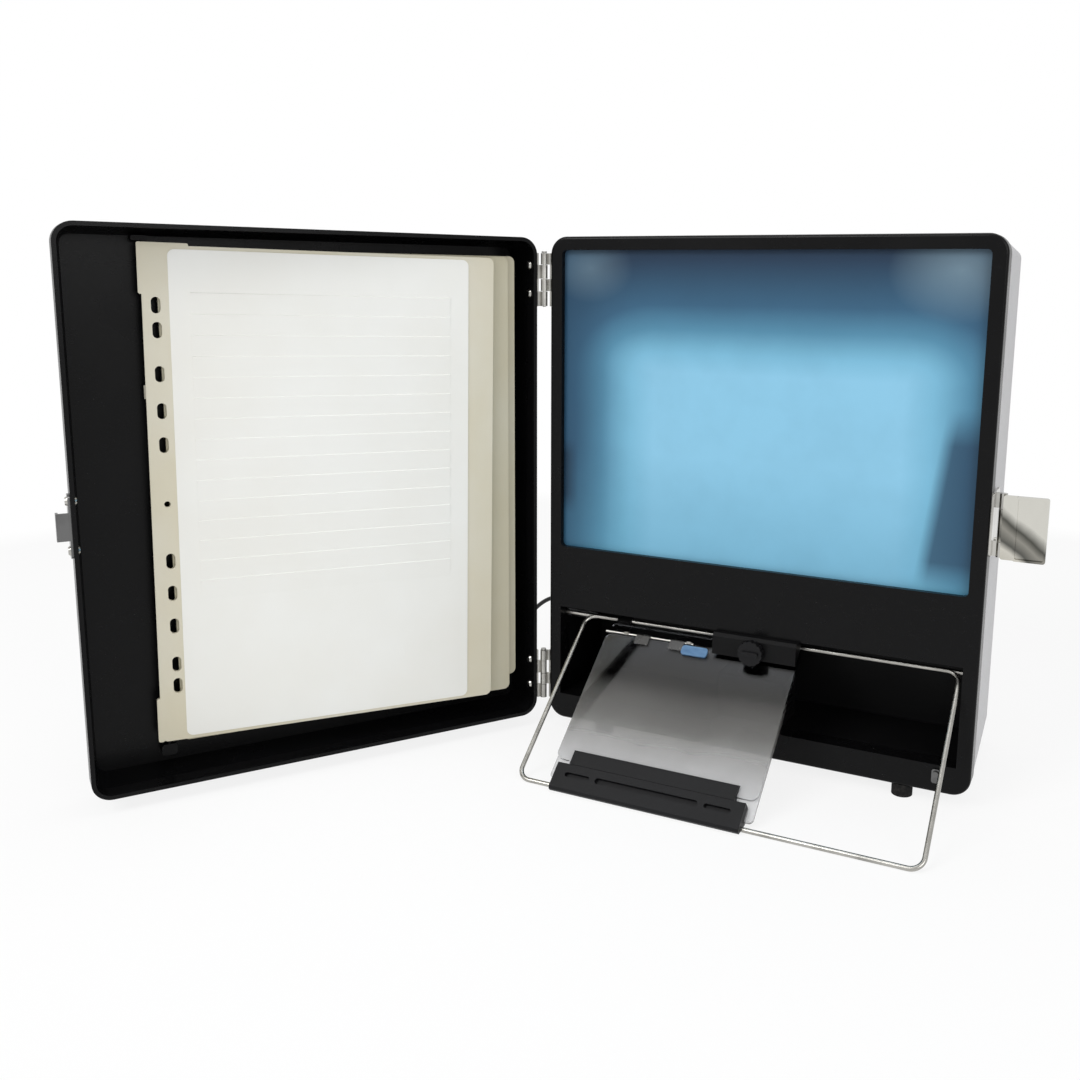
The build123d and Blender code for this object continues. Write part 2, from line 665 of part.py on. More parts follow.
with BuildPart() as switch_body:
    with BuildSketch(Plane.XZ.offset(-CASE_D)) as switch_flange:
        with Locations((60, 60)):
            RectangleRounded(23, 16, 1.5)
    extrude(amount=-1.4)
    with BuildSketch(Plane.XZ.offset(-CASE_D)) as switch_box:
        with Locations((60, 60)):
            Rectangle(19, 12.8)
    extrude(amount=16)
    with BuildSketch(Plane.XZ.offset(-CASE_D - 1.4)) as switch_well:
        with Locations((60, 60)):
            Rectangle(15, 9)
    extrude(amount=9, mode=Mode.SUBTRACT)
keep(switch_body, "switch_body")

ROCKER_Y = 115.6
with BuildPart() as rocker:
    with BuildSketch(Plane.XY.offset(60 - 4.1)) as rocker_side:
        with BuildLine() as rocker_line:
            Polyline(
                (60 - 6.4, ROCKER_Y - 1.5),
                (60 + 6.4, ROCKER_Y - 1.5),
                (60 + 6.4, ROCKER_Y + 5.2),
                (60, ROCKER_Y + 4.2),
                (60 - 6.4, ROCKER_Y + 5.2),
                close=True,
            )
        make_face()
    extrude(amount=8.2)
keep(rocker, "rocker")

with BuildPart() as cord_gland:
    with BuildSketch(Plane.YZ.offset(shell_inset(GLAND_Y) - 2.4)) as gland_flange:
        with Locations((GLAND_Y, GLAND_Z)):
            Circle(7)
    extrude(amount=2)
    with BuildSketch(Plane.YZ.offset(shell_inset(GLAND_Y) - 2.4)) as gland_stem:
        with Locations((GLAND_Y, GLAND_Z)):
            Circle(4.2)
    extrude(amount=9)
    with BuildSketch(Plane.YZ.offset(shell_inset(GLAND_Y) - 2.4)) as gland_boot:
        with Locations((GLAND_Y, GLAND_Z)):
            Circle(3.6)
    extrude(amount=-9, taper=6)
keep(cord_gland, "cord_gland")

# ================================================================ stage, drawn level
with BuildPart() as wire_frame:
    with BuildLine() as loop:
        FilletPolyline(
            (STAGE_X0 + 40, 0, 0),
            (STAGE_X1, 0, 0),
            (STAGE_X1, -STAGE_L, 0),
            (STAGE_X0, -STAGE_L, 0),
            (STAGE_X0, 0, 0),
            (STAGE_X0 + 20, 0, 0),
            radius=STAGE_R,
        )
    with BuildSketch(Plane(origin=(STAGE_X0 + 40, 0, 0), z_dir=(1, 0, 0))) as wire_section:
        Circle(WIRE_D / 2)
    sweep()
    # Journals that turn in the two shoes.
    with BuildSketch(Plane.YZ.offset(SIDE_BAR - SHOE_T - 0.2)) as journal_left:
        Circle(WIRE_D / 2)
    extrude(amount=STAGE_X0 + 40 - (SIDE_BAR - SHOE_T - 0.2))
    with BuildSketch(Plane.YZ.offset(STAGE_X1 - STAGE_R - 1)) as journal_right:
        Circle(WIRE_D / 2)
    extrude(amount=SIDE_X1 + SHOE_T + 0.2 - (STAGE_X1 - STAGE_R - 1))
keep(wire_frame, "wire_frame", STAGE)

# Shoes: pads in the sloping grooves, each bored for a journal.
with BuildPart() as rail_shoes:
    with BuildSketch(Plane.YZ.offset(SIDE_BAR - 0.2 - SHOE_T)) as shoe:
        with Locations(Location((RAIL_Y, RAIL_Z), -SLOPE)):
            SlotOverall(SHOE_L, SHOE_H)
            Circle(WIRE_D / 2 + RUN_FIT / 2, mode=Mode.SUBTRACT)
    extrude(amount=SHOE_T)
    with BuildSketch(Plane.YZ.offset(SIDE_X1 + 0.2)) as shoe_right:
        with Locations(Location((RAIL_Y, RAIL_Z), -SLOPE)):
            SlotOverall(SHOE_L, SHOE_H)
            Circle(WIRE_D / 2 + RUN_FIT / 2, mode=Mode.SUBTRACT)
    extrude(amount=SHOE_T)
keep(rail_shoes, "rail_shoes")

with BuildPart() as lower_glass:
    with BuildSketch(Plane.XY.offset(LOWER_TOP)) as lower_plan:
        with Locations((GLASS_X0 + GLASS_W / 2, -(LOWER_Y0 + LOWER_Y1) / 2)):
            RectangleRounded(GLASS_W, LOWER_Y1 - LOWER_Y0, 3)
    extrude(amount=-GLASS_T)
keep(lower_glass, "lower_glass", STAGE)

with BuildPart() as upper_glass:
    with BuildSketch(Plane.XY.offset(UPPER_TOP)) as upper_plan:
        with Locations((GLASS_X0 + GLASS_W / 2, -(UPPER_Y0 + UPPER_Y1) / 2)):
            RectangleRounded(GLASS_W, UPPER_Y1 - UPPER_Y0, 5)
    extrude(amount=-GLASS_T)
keep(upper_glass, "upper_glass", STAGE)

# Rail guides: two blocks that run on the rear rail and carry the lower glass on a shelf.
GUIDES = (GLASS_X0 + 4, GLASS_X0 + GLASS_W - 4 - GUIDE_W)
with BuildPart() as rail_guides:
    for guide_x in GUIDES:
        with BuildSketch(Plane.YZ.offset(guide_x)) as guide:
            with BuildLine() as guide_line:
                Polyline(
                    (2.6, LOWER_TOP - GLASS_T - 1),
                    (2.6, 2.4),
                    (-2.6, 2.4),
                    (-LOWER_Y0 + 0.2, LOWER_TOP - GLASS_T),
                    (-LOWER_Y0 - 9, LOWER_TOP - GLASS_T),
                    (-LOWER_Y0 - 9, LOWER_TOP - GLASS_T - 1),
                    close=True,
                )
            make_face()
            Circle(WIRE_D / 2 + RUN_FIT, mode=Mode.SUBTRACT)
        extrude(amount=GUIDE_W)
keep(rail_guides, "rail_guides", STAGE)

# Hinge rod of the upper glass with its end posts and two collars.
with BuildPart() as hinge_rod:
    with BuildSketch(Plane.YZ.offset(ROD_X0)) as rod:
        with Locations((-ROD_Y, ROD_N)):
            Circle(ROD_D / 2)
    extrude(amount=ROD_X1 - ROD_X0)
keep(hinge_rod, "hinge_rod", STAGE)

with BuildPart() as rod_collars:
    for collar_x in (GLASS_X0 + 12.5, ROD_X1 - 4.5):
        with BuildSketch(Plane.YZ.offset(collar_x)) as collar:
            with Locations((-ROD_Y, ROD_N)):
                RegularPolygon(ROD_N - LOWER_TOP - 0.02, 6, major_radius=False)
                Circle(ROD_D / 2, mode=Mode.SUBTRACT)
        extrude(amount=3)
keep(rod_collars, "rod_collars", STAGE)

# Clips of the upper glass: sleeves that turn on the rod and lap the glass from above.
with BuildPart() as glass_clips:
    for clip_x in (GLASS_X0 + 22, ROD_X1 - 6 - CLIP_W):
        with BuildSketch(Plane.YZ.offset(clip_x)) as clip:
            with Locations((-ROD_Y, ROD_N)):
                Circle(ROD_D / 2 + RUN_FIT / 2 + CLIP_T)
            with Locations((-(ROD_Y + UPPER_Y0 + 5) / 2, UPPER_TOP + CLIP_T / 2)):
                Rectangle(UPPER_Y0 + 5 - ROD_Y, CLIP_T)
            with Locations((-ROD_Y, ROD_N)):
                Circle(ROD_D / 2 + RUN_FIT / 2, mode=Mode.SUBTRACT)
        extrude(amount=CLIP_W)
keep(glass_clips, "glass_clips", STAGE)

# Blue lift tab on the upper glass, beside the right-hand clip.
with BuildPart() as lift_tab:
    with BuildSketch(Plane.XY.offset(UPPER_TOP)) as tab_plan:
        with Locations((ROD_X1 + 3, -UPPER_Y0 - 4)):
            RectangleRounded(18, 7, 2)
    extrude(amount=1.2)
keep(lift_tab, "lift_tab", STAGE)

# Grip on the upper glass: a stepped bar over its front edge.
with BuildPart() as glass_grip:
    with BuildSketch(Plane.YZ.offset(HANDLE_X0 + (HANDLE_W - GRIP_W) / 2)) as grip_side:
        with BuildLine() as grip_line:
            Polyline(
                (-GRIP_Y0, UPPER_TOP),
                (-UPPER_Y1, UPPER_TOP),
                (-UPPER_Y1, LOWER_TOP + 0.4),
                (-HANDLE_Y0 + 0.4, LOWER_TOP + 0.4),
                (-HANDLE_Y0 + 0.4, GRIP_TOP),
                (-GRIP_Y0 - 1.5, GRIP_TOP),
                close=True,
            )
        make_face()
    extrude(amount=GRIP_W)
keep(glass_grip, "glass_grip", STAGE)

# Handle: clamps the lower glass and runs on the front rail; its underside clears the table.
with BuildPart() as carrier_handle:
    with BuildSketch(Plane.YZ.offset(HANDLE_X0)) as handle_side:
        with BuildLine() as handle_line:
            Polyline(
                (-HANDLE_Y0, HANDLE_TOP),
                (-HANDLE_Y0, -4),
                (-HANDLE_Y0 - 9.4, -4),
                (-HANDLE_Y1, 2),
                (-HANDLE_Y1, HANDLE_TOP - 1.5),
                (-HANDLE_Y1 + 1.5, HANDLE_TOP),
                close=True,
            )
        make_face()
        with Locations((-(HANDLE_Y0 + LOWER_Y1) / 2, LOWER_TOP - GLASS_T / 2)):
            Rectangle(LOWER_Y1 - HANDLE_Y0, GLASS_T, mode=Mode.SUBTRACT)
        with Locations((-STAGE_L, 0)):
            Circle(WIRE_D / 2 + RUN_FIT, mode=Mode.SUBTRACT)
        with Locations((-STAGE_L, -3)):
            Rectangle(2 * (WIRE_D / 2 + RUN_FIT), 6, mode=Mode.SUBTRACT)
    extrude(amount=HANDLE_W)
    # Long centre slot and two short end slots in the top.
    with BuildSketch(Plane.XY.offset(HANDLE_TOP)) as handle_slots:
        with Locations((HANDLE_X0 + HANDLE_W / 2, -HANDLE_Y0 - 7)):
            SlotOverall(68, 4)
        with Locations((HANDLE_X0 + 16, -HANDLE_Y0 - 7), (HANDLE_X0 + HANDLE_W - 16, -HANDLE_Y0 - 7)):
            SlotOverall(17, 3)
    extrude(amount=-2.6, mode=Mode.SUBTRACT)
keep(carrier_handle, "carrier_handle", STAGE)

# ================================================================ tray door, drawn shut
DOOR_H = CASE_H - 2 * DOOR_DROP
DOOR_ANGLE = degrees(atan(DOOR_INSET / (DOOR_D - DOOR_BAND)))
RIM = Plane(origin=(MID_X, 0, MID_Z), x_dir=(1, 0, 0), z_dir=(0, -1, 0))
with BuildPart() as door_tray:
    with BuildSketch(RIM) as band:
        RectangleRounded(CASE_W, DOOR_H, CORNER_R)
    extrude(amount=DOOR_BAND)
    with BuildSketch(RIM.offset(DOOR_BAND)) as taper_band:
        RectangleRounded(CASE_W, DOOR_H, CORNER_R)
    extrude(amount=DOOR_D - DOOR_BAND, taper=DOOR_ANGLE)
    fillet(door_tray.faces().sort_by(Axis.Y)[0].edges(), 4.0)
    with BuildSketch(RIM) as hollow:
        RectangleRounded(CASE_W - 2 * WALL, DOOR_H - 2 * WALL, CORNER_R - WALL)
    extrude(amount=DOOR_BAND, mode=Mode.SUBTRACT)
    with BuildSketch(RIM.offset(DOOR_BAND)) as taper_hollow:
        RectangleRounded(CASE_W - 2 * WALL, DOOR_H - 2 * WALL, CORNER_R - WALL)
    extrude(amount=DOOR_D - DOOR_BAND - DOOR_FLOOR, taper=DOOR_ANGLE, mode=Mode.SUBTRACT)
    # Rivet holes of the hinges and the keeper.
    with BuildSketch(Plane.YZ.offset(-1)) as door_rivet_holes:
        for hinge_z in (HINGE_Z0, HINGE_Z1):
            with Locations((-7, hinge_z + 8.5), (-7, hinge_z + HINGE_H - 8)):
                Circle(RIVET_D / 2)
    extrude(amount=WALL + 2, mode=Mode.SUBTRACT)
    with BuildSketch(Plane.YZ.offset(CASE_W - WALL - 1)) as keeper_rivet_holes:
        with Locations((-6, KEEPER_Z - 14.3), (-6, KEEPER_Z + 14.3)):
            Circle(RIVET_D / 2)
    extrude(amount=WALL + 2, mode=Mode.SUBTRACT)
keep(door_tray, "door_tray", DOOR)


def knuckle_spans(start, first):
    """Every second knuckle of a hinge that starts at height start."""
    spans = []
    z = start
    for index, height in enumerate(KNUCKLES):
        if index % 2 == first:
            spans.append((z + 0.15, height - 0.3))
        z += height
    return spans


HINGE_STARTS = (HINGE_Z0, HINGE_Z1)
with BuildPart() as case_leaves:
    for hinge_z in HINGE_STARTS:
        with BuildSketch(Plane.XY.offset(hinge_z)) as case_leaf:
            with Locations((-LEAF_T / 2, 2.1 + (LEAF_W - 2) / 2)):
                Rectangle(LEAF_T, LEAF_W - 2)
        extrude(amount=HINGE_H)
        for z, height in knuckle_spans(hinge_z, 1):
            with BuildSketch(Plane.XY.offset(z)) as case_knuckle:
                with Locations((PIN_X, PIN_Y)):
                    Circle(KNUCKLE_D / 2)
                with Locations((PIN_X / 2 - 0.2, PIN_Y + KNUCKLE_D / 2 - 0.75)):
                    Rectangle(-PIN_X - 0.4, 1.5)
                with Locations((PIN_X, PIN_Y)):
                    Circle(PIN_D / 2 + 0.02, mode=Mode.SUBTRACT)
            extrude(amount=height)
    with BuildSketch(Plane.YZ.offset(-LEAF_T - 1)) as case_leaf_holes:
        for hinge_z in HINGE_STARTS:
            with Locations((8, hinge_z + 8.5), (8, hinge_z + HINGE_H - 8)):
                Circle(RIVET_D / 2)
    extrude(amount=LEAF_T + 1, mode=Mode.SUBTRACT)
keep(case_leaves, "case_leaves")

with BuildPart() as hinge_pins:
    for hinge_z in HINGE_STARTS:
        with BuildSketch(Plane.XY.offset(hinge_z - 0.4)) as pin:
            with Locations((PIN_X, PIN_Y)):
                Circle(PIN_D / 2)
        extrude(amount=HINGE_H + 0.8)
        with BuildSketch(Plane.XY.offset(hinge_z + HINGE_H + 0.2)) as pin_head:
            with Locations((PIN_X, PIN_Y)):
                Circle(PIN_D / 2 + 0.8)
        extrude(amount=0.9)
keep(hinge_pins, "hinge_pins")

with BuildPart() as door_leaves:
    for hinge_z in HINGE_STARTS:
        with BuildSketch(Plane.XY.offset(hinge_z)) as door_leaf:
            with Locations((-LEAF_T / 2, -0.8 - (LEAF_W - 2) / 2)):
                Rectangle(LEAF_T, LEAF_W - 2)
        extrude(amount=HINGE_H)
        for z, height in knuckle_spans(hinge_z, 0):
            with BuildSketch(Plane.XY.offset(z)) as door_knuckle:
                with Locations((PIN_X, DOOR_PIN_Y)):
                    Circle(KNUCKLE_D / 2)
                with Locations((PIN_X / 2 - 0.2, DOOR_PIN_Y - KNUCKLE_D / 2 + 0.75)):
                    Rectangle(-PIN_X - 0.4, 1.5)
                with Locations((PIN_X, DOOR_PIN_Y)):
                    Circle(PIN_D / 2 + 0.05, mode=Mode.SUBTRACT)
            extrude(amount=height)
    with BuildSketch(Plane.YZ.offset(-LEAF_T - 1)) as door_leaf_holes:
        for hinge_z in HINGE_STARTS:
            with Locations((-7, hinge_z + 8.5), (-7, hinge_z + HINGE_H - 8)):
                Circle(RIVET_D / 2)
    extrude(amount=LEAF_T + 1, mode=Mode.SUBTRACT)
keep(door_leaves, "door_leaves", DOOR)

with BuildPart() as case_rivets:
    for hinge_z in HINGE_STARTS:
        with BuildSketch(Plane.YZ.offset(-LEAF_T)) as case_rivet:
            with Locations((8, hinge_z + 8.5), (8, hinge_z + HINGE_H - 8)):
                Circle(RIVET_D / 2)
        extrude(amount=LEAF_T)
        with BuildSketch(Plane.YZ.offset(-LEAF_T)) as case_rivet_head:
            with Locations((8, hinge_z + 8.5), (8, hinge_z + HINGE_H - 8)):
                Circle(RIVET_HEAD / 2)
        extrude(amount=-RIVET_RISE, taper=35)
keep(case_rivets, "case_rivets")

with BuildPart() as door_rivets:
    for hinge_z in HINGE_STARTS:
        with BuildSketch(Plane.YZ.offset(-LEAF_T)) as door_rivet:
            with Locations((-7, hinge_z + 8.5), (-7, hinge_z + HINGE_H - 8)):
                Circle(RIVET_D / 2)
        extrude(amount=LEAF_T + WALL)
        with BuildSketch(Plane.YZ.offset(-LEAF_T)) as door_rivet_head:
            with Locations((-7, hinge_z + 8.5), (-7, hinge_z + HINGE_H - 8)):
                Circle(RIVET_HEAD / 2)
        extrude(amount=-RIVET_RISE, taper=35)
        with BuildSketch(Plane.YZ.offset(WALL)) as door_rivet_tail:
            with Locations((-7, hinge_z + 8.5), (-7, hinge_z + HINGE_H - 8)):
                Circle(RIVET_HEAD / 2)
        extrude(amount=RIVET_RISE, taper=35)
    with BuildSketch(Plane.YZ.offset(CASE_W - WALL)) as keeper_rivet:
        with Locations((-6, KEEPER_Z - 14.3), (-6, KEEPER_Z + 14.3)):
            Circle(RIVET_D / 2)
    extrude(amount=WALL + 1.2)
    with BuildSketch(Plane.YZ.offset(CASE_W + 1.2)) as keeper_rivet_head:
        with Locations((-6, KEEPER_Z - 14.3), (-6, KEEPER_Z + 14.3)):
            Circle(RIVET_HEAD / 2)
    extrude(amount=RIVET_RISE, taper=35)
    with BuildSketch(Plane.YZ.offset(CASE_W - WALL)) as keeper_rivet_tail:
        with Locations((-6, KEEPER_Z - 14.3), (-6, KEEPER_Z + 14.3)):
            Circle(RIVET_HEAD / 2)
    extrude(amount=-RIVET_RISE, taper=35)
keep(door_rivets, "door_rivets", DOOR)

# Keeper on the free edge: riveted strap with a turned lip for the latch bail.
with BuildPart() as keeper:
    with BuildSketch(Plane.YZ.offset(CASE_W)) as strap:
        with Locations((-6, KEEPER_Z)):
            RectangleRounded(8, 37, 2)
            with Locations((0, -14.3), (0, 14.3)):
                Circle(RIVET_D / 2, mode=Mode.SUBTRACT)
    extrude(amount=1.2)
    with BuildSketch(Plane.XY.offset(KEEPER_Z - 8)) as lip:
        with BuildLine() as lip_line:
            Polyline(
                (CASE_W + 1.2, -2.4),
                (CASE_W + 7.8, -2.4),
                (CASE_W + 7.8, -7.4),
                (CASE_W + 6.4, -7.4),
                (CASE_W + 6.4, -3.8),
                (CASE_W + 1.2, -3.8),
                close=True,
            )
        make_face()
    extrude(amount=16)
keep(keeper, "keeper", DOOR)

# ================================================================ index leaves in the tray
FLOOR_Y = -(DOOR_D - DOOR_FLOOR)
REAR_Y = FLOOR_Y + 3.0
MIDDLE_Y = REAR_Y + INDEX_T + INDEX_GAP
FRONT_Y = MIDDLE_Y + INDEX_T + INDEX_GAP
SPINE_Y = FRONT_Y - 1.6
PUNCH_X = 237.4
PUNCH_Z = (289.8, 275.4, 249.8, 228.0, 207.8, 137.0, 117.0, 96.4, 72.1, 58.3)
PUNCH_SMALL_Z = 172.1
# The leaves lean out towards the hinge side, about the spine.
LEAVES = (
    DOOR
    * Location((SPINE_X, SPINE_Y, 0), (0, 0, -LEAF_TILT))
    * Location((-SPINE_X, -SPINE_Y, 0))
)

# Spine: a post behind the front leaf, between end blocks that stand on the tray's floor.
with BuildPart() as index_spine:
    with BuildSketch(Plane.XZ.offset(-FLOOR_Y)) as spine_blocks:
        with Locations((SPINE_X, INDEX_Z0 - 6.6)):
            RectangleRounded(9, 7, 2)
        with Locations((SPINE_X, INDEX_Z0 + INDEX_H + 3.7)):
            RectangleRounded(9, 3.0, 1.2)
    extrude(amount=-(SPINE_Y + 1.3 - FLOOR_Y))
    with BuildSketch(Plane.XY.offset(INDEX_Z0 - 4)) as spine_post:
        with Locations((SPINE_X, SPINE_Y)):
            Circle(SPINE_R)
    extrude(amount=INDEX_H + 7.5)
keep(index_spine, "index_spine", DOOR)

FRONT_LEAF = Location(((INDEX_X0 + LEAF_X1) / 2, INDEX_Z0 + INDEX_H / 2 - 1.5), (0, 0, LEAF_SAG))
LEAF_W = LEAF_X1 - INDEX_X0
with BuildPart() as index_leaf_front:
    # Margin with the punched slots, wider at both far corners, and the board beside it.
    with BuildSketch(Plane.XZ.offset(-FRONT_Y)) as front_leaf:
        with Locations(FRONT_LEAF):
            RectangleRounded(LEAF_X1 - INDEX_X0, INDEX_H, 4)
            with Locations((LEAF_W / 2, TAB_L / 2 - INDEX_H / 2), (LEAF_W / 2, INDEX_H / 2 - TAB_L / 2)):
                RectangleRounded(2 * TAB_W, TAB_L, 1.2)
            with Locations((LEAF_W / 2 - TAB_L / 2 + TAB_W, INDEX_H / 2)):
                RectangleRounded(TAB_L, 2 * TAB_RISE, 1.0)
        with Locations([(PUNCH_X, punch_z) for punch_z in PUNCH_Z]):
            SlotOverall(9.5, 5.2, rotation=90, mode=Mode.SUBTRACT)
        with Locations((PUNCH_X, PUNCH_SMALL_Z)):
            Circle(1.8, mode=Mode.SUBTRACT)
    extrude(amount=-INDEX_T)
    # Two binding loops on the back, round the spine post.
    for band_z in (INDEX_Z0 + 64, INDEX_Z0 + 212):
        with BuildSketch(Plane.XY.offset(band_z)) as binding:
            with Locations((SPINE_X, SPINE_Y)):
                Circle(SPINE_D / 2)
        extrude(amount=8)
    with BuildSketch(Plane.XY.offset(INDEX_Z0 + 30)) as spine_bore:
        with Locations((SPINE_X, SPINE_Y)):
            Circle(SPINE_R + 0.3)
    extrude(amount=INDEX_H - 60, mode=Mode.SUBTRACT)
keep(index_leaf_front, "index_leaf_front", LEAVES)

with BuildPart() as pocket_sheet:
    with BuildSketch(Plane.XZ.offset(-FRONT_Y - INDEX_T)) as sheet:
        with Locations(Location(((SHEET_X0 + SHEET_X1) / 2, INDEX_Z0 + INDEX_H / 2 - 1.5), (0, 0, LEAF_SAG))):
            Rectangle(SHEET_X1 - SHEET_X0, INDEX_H - 4)
    extrude(amount=-SHEET_T)
keep(pocket_sheet, "pocket_sheet", LEAVES)

with BuildPart() as index_leaf_middle:
    with BuildSketch(Plane.XZ.offset(-MIDDLE_Y)) as middle_leaf:
        with Locations(((MIDDLE_X0 + HIDDEN_X1) / 2, INDEX_Z0 + MIDDLE_RISE + INDEX_H / 2)):
            RectangleRounded(HIDDEN_X1 - MIDDLE_X0, INDEX_H, 4)
    extrude(amount=-INDEX_T)
keep(index_leaf_middle, "index_leaf_middle", LEAVES)

with BuildPart() as index_leaf_rear:
    with BuildSketch(Plane.XZ.offset(-REAR_Y)) as rear_leaf:
        with Locations(((REAR_X0 + HIDDEN_X1) / 2, INDEX_Z0 + REAR_RISE + INDEX_H / 2)):
            RectangleRounded(HIDDEN_X1 - REAR_X0, REAR_H, 4)
    extrude(amount=-INDEX_T)
keep(index_leaf_rear, "index_leaf_rear", LEAVES)

# Wedge board between the tray's floor and the rear leaf.
LEAN = tan(radians(LEAF_TILT))


def leaf_back(x):
    """Depth of the rear leaf's back above the tray's floor, in the door's own frame."""
    return SPINE_Y + (REAR_Y - SPINE_Y) / cos(radians(LEAF_TILT)) + (SPINE_X - x) * LEAN


with BuildPart() as leaf_backing:
    with BuildSketch(Plane.XY.offset(MID_Z - 130)) as backing:
        with BuildLine():
            Polyline(
                (60, FLOOR_Y),
                (232, FLOOR_Y),
                (232, leaf_back(232)),
                (60, leaf_back(60)),
                close=True,
            )
        make_face()
    extrude(amount=260)
keep(leaf_backing, "leaf_backing", DOOR)

with BuildPart() as leaf_pads:
    for pad_y in (REAR_Y + INDEX_T, MIDDLE_Y + INDEX_T):
        with BuildSketch(Plane.XZ.offset(-pad_y)) as pad:
            with Locations((226, 110), (226, 240)):
                Rectangle(14, 60)
        extrude(amount=-INDEX_GAP)
keep(leaf_pads, "leaf_pads", LEAVES)

# ================================================================ latch on the right wall
LATCH_Z1 = LATCH_Z0 + LATCH_H
with BuildPart() as latch_base:
    with BuildSketch(Plane.YZ.offset(CASE_W)) as base_plate:
        with Locations((16, LATCH_Z0 + LATCH_H / 2)):
            RectangleRounded(26, LATCH_H, 2)
            with Locations((6, -13), (6, 13)):
                Circle(RIVET_D / 2, mode=Mode.SUBTRACT)
    extrude(amount=1.3)
    for ear_z in (LATCH_Z0, LATCH_Z1 - 9):
        with BuildSketch(Plane.XY.offset(ear_z)) as ear:
            with Locations((LATCH_X, LATCH_Y)):
                Circle(LATCH_BARREL / 2)
            with Locations(((CASE_W + 1.3 + LATCH_X) / 2, LATCH_Y + 1.5)):
                Rectangle(LATCH_X - CASE_W - 1.3, 1.4)
        extrude(amount=9)
    with BuildSketch(Plane.XY.offset(LATCH_Z0 + 9)) as fixed_pin:
        with Locations((LATCH_X, LATCH_Y)):
            Circle(1.0)
    extrude(amount=LATCH_H - 18)
keep(latch_base, "latch_base")

# Lever: drawn plate with a raised rim; its barrel turns on the base's pin.
with BuildPart() as latch_lever:
    with BuildSketch(Plane.XZ.offset(-LEVER_BACK)) as lever_plan:
        with Locations((LATCH_X + 0.6 + LEVER_L / 2, LATCH_Z0 + LATCH_H / 2)):
            RectangleRounded(LEVER_L, LATCH_H, 1.5)
    extrude(amount=LEVER_T)
    with BuildSketch(Plane.XZ.offset(-LEVER_BACK + LEVER_T)) as lever_rim:
        with Locations((LATCH_X + 0.6 + LEVER_L / 2 + 3.5, LATCH_Z0 + LATCH_H / 2)):
            RectangleRounded(LEVER_L - 7, LATCH_H, 1.5)
            RectangleRounded(LEVER_L - 9.4, LATCH_H - 2.4, 1.0, mode=Mode.SUBTRACT)
    extrude(amount=LEVER_RIM - LEVER_T)
    with BuildSketch(Plane.XY.offset(LATCH_Z0 + 9.3)) as lever_barrel:
        with Locations((LATCH_X, LATCH_Y)):
            Circle(LATCH_BARREL / 2)
        with Locations((LATCH_X + 1.5, (LATCH_Y + LEVER_BACK - LEVER_T) / 2)):
            Rectangle(1.4, LATCH_Y - LEVER_BACK + LEVER_T)
        with Locations((LATCH_X, LATCH_Y)):
            Circle(1.06, mode=Mode.SUBTRACT)
    extrude(amount=LATCH_H - 18.6)
    # Lugs behind the plate for the bail.
    for lug_z in (LATCH_Z0 + 3, LATCH_Z1 - 6):
        with BuildSketch(Plane.XY.offset(lug_z)) as lug:
            with Locations((BAIL_X, (LEVER_BACK + BAIL_Y + 1.8) / 2)):
                Rectangle(4, BAIL_Y + 1.8 - LEVER_BACK)
            with Locations((BAIL_X, BAIL_Y)):
                Circle(BAIL_D / 2 + 0.06, mode=Mode.SUBTRACT)
        extrude(amount=3)
keep(latch_lever, "latch_lever")

# Bail: wire loop that turns in the lever's two lugs.
with BuildPart() as latch_bail:
    with BuildLine() as bail_line:
        FilletPolyline(
            (BAIL_X, BAIL_Y, LATCH_Z0 + 2.5),
            (BAIL_X, BAIL_Y, LATCH_Z0 + 9),
            (BAIL_X + BAIL_L, BAIL_Y, LATCH_Z0 + 9),
            (BAIL_X + BAIL_L, BAIL_Y, LATCH_Z1 - 9),
            (BAIL_X, BAIL_Y, LATCH_Z1 - 9),
            (BAIL_X, BAIL_Y, LATCH_Z1 - 2.5),
            radius=2,
        )
    with BuildSketch(Plane(origin=(BAIL_X, BAIL_Y, LATCH_Z0 + 2.5), z_dir=(0, 0, 1))):
        Circle(BAIL_D / 2)
    sweep()
keep(latch_bail, "latch_bail")

with BuildPart() as latch_rivets:
    with BuildSketch(Plane.YZ.offset(CASE_W)) as latch_rivet:
        with Locations((22, LATCH_Z0 + LATCH_H / 2 - 13), (22, LATCH_Z0 + LATCH_H / 2 + 13)):
            Circle(RIVET_D / 2)
    extrude(amount=1.3)
    with BuildSketch(Plane.YZ.offset(CASE_W + 1.3)) as latch_rivet_head:
        with Locations((22, LATCH_Z0 + LATCH_H / 2 - 13), (22, LATCH_Z0 + LATCH_H / 2 + 13)):
            Circle(2.2)
    extrude(amount=0.7)
keep(latch_rivets, "latch_rivets")

# ================================================================ lead
GLAND_END = shell_inset(GLAND_Y) - 2.4 - 9
LEAD_Z = -FOOT_H + LEAD_D / 2 + 0.1
COIL_R = 22.6
COIL_H = 13.4
with BuildPart() as lead_coil:
    with BuildSketch(Plane.XY.offset(-FOOT_H)) as coil_plan:
        with Locations((COIL_X, COIL_Y)):
            Circle(COIL_R)
            Circle(COIL_R - 11.2, mode=Mode.SUBTRACT)
    extrude(amount=COIL_H)
keep(lead_coil, "lead_coil")

LEAD_ROUTE = [
    (GLAND_END, GLAND_Y, GLAND_Z),
    (-24, 76, GLAND_Z),
    (-43, 75.5, 62),
    (-60, 77, 47),
    (-70, 80, 25),
    (-79, 86, 5),
    (-93, 97, LEAD_Z),
    (-122, COIL_Y, LEAD_Z),
    (COIL_X + COIL_R, COIL_Y, LEAD_Z),
]


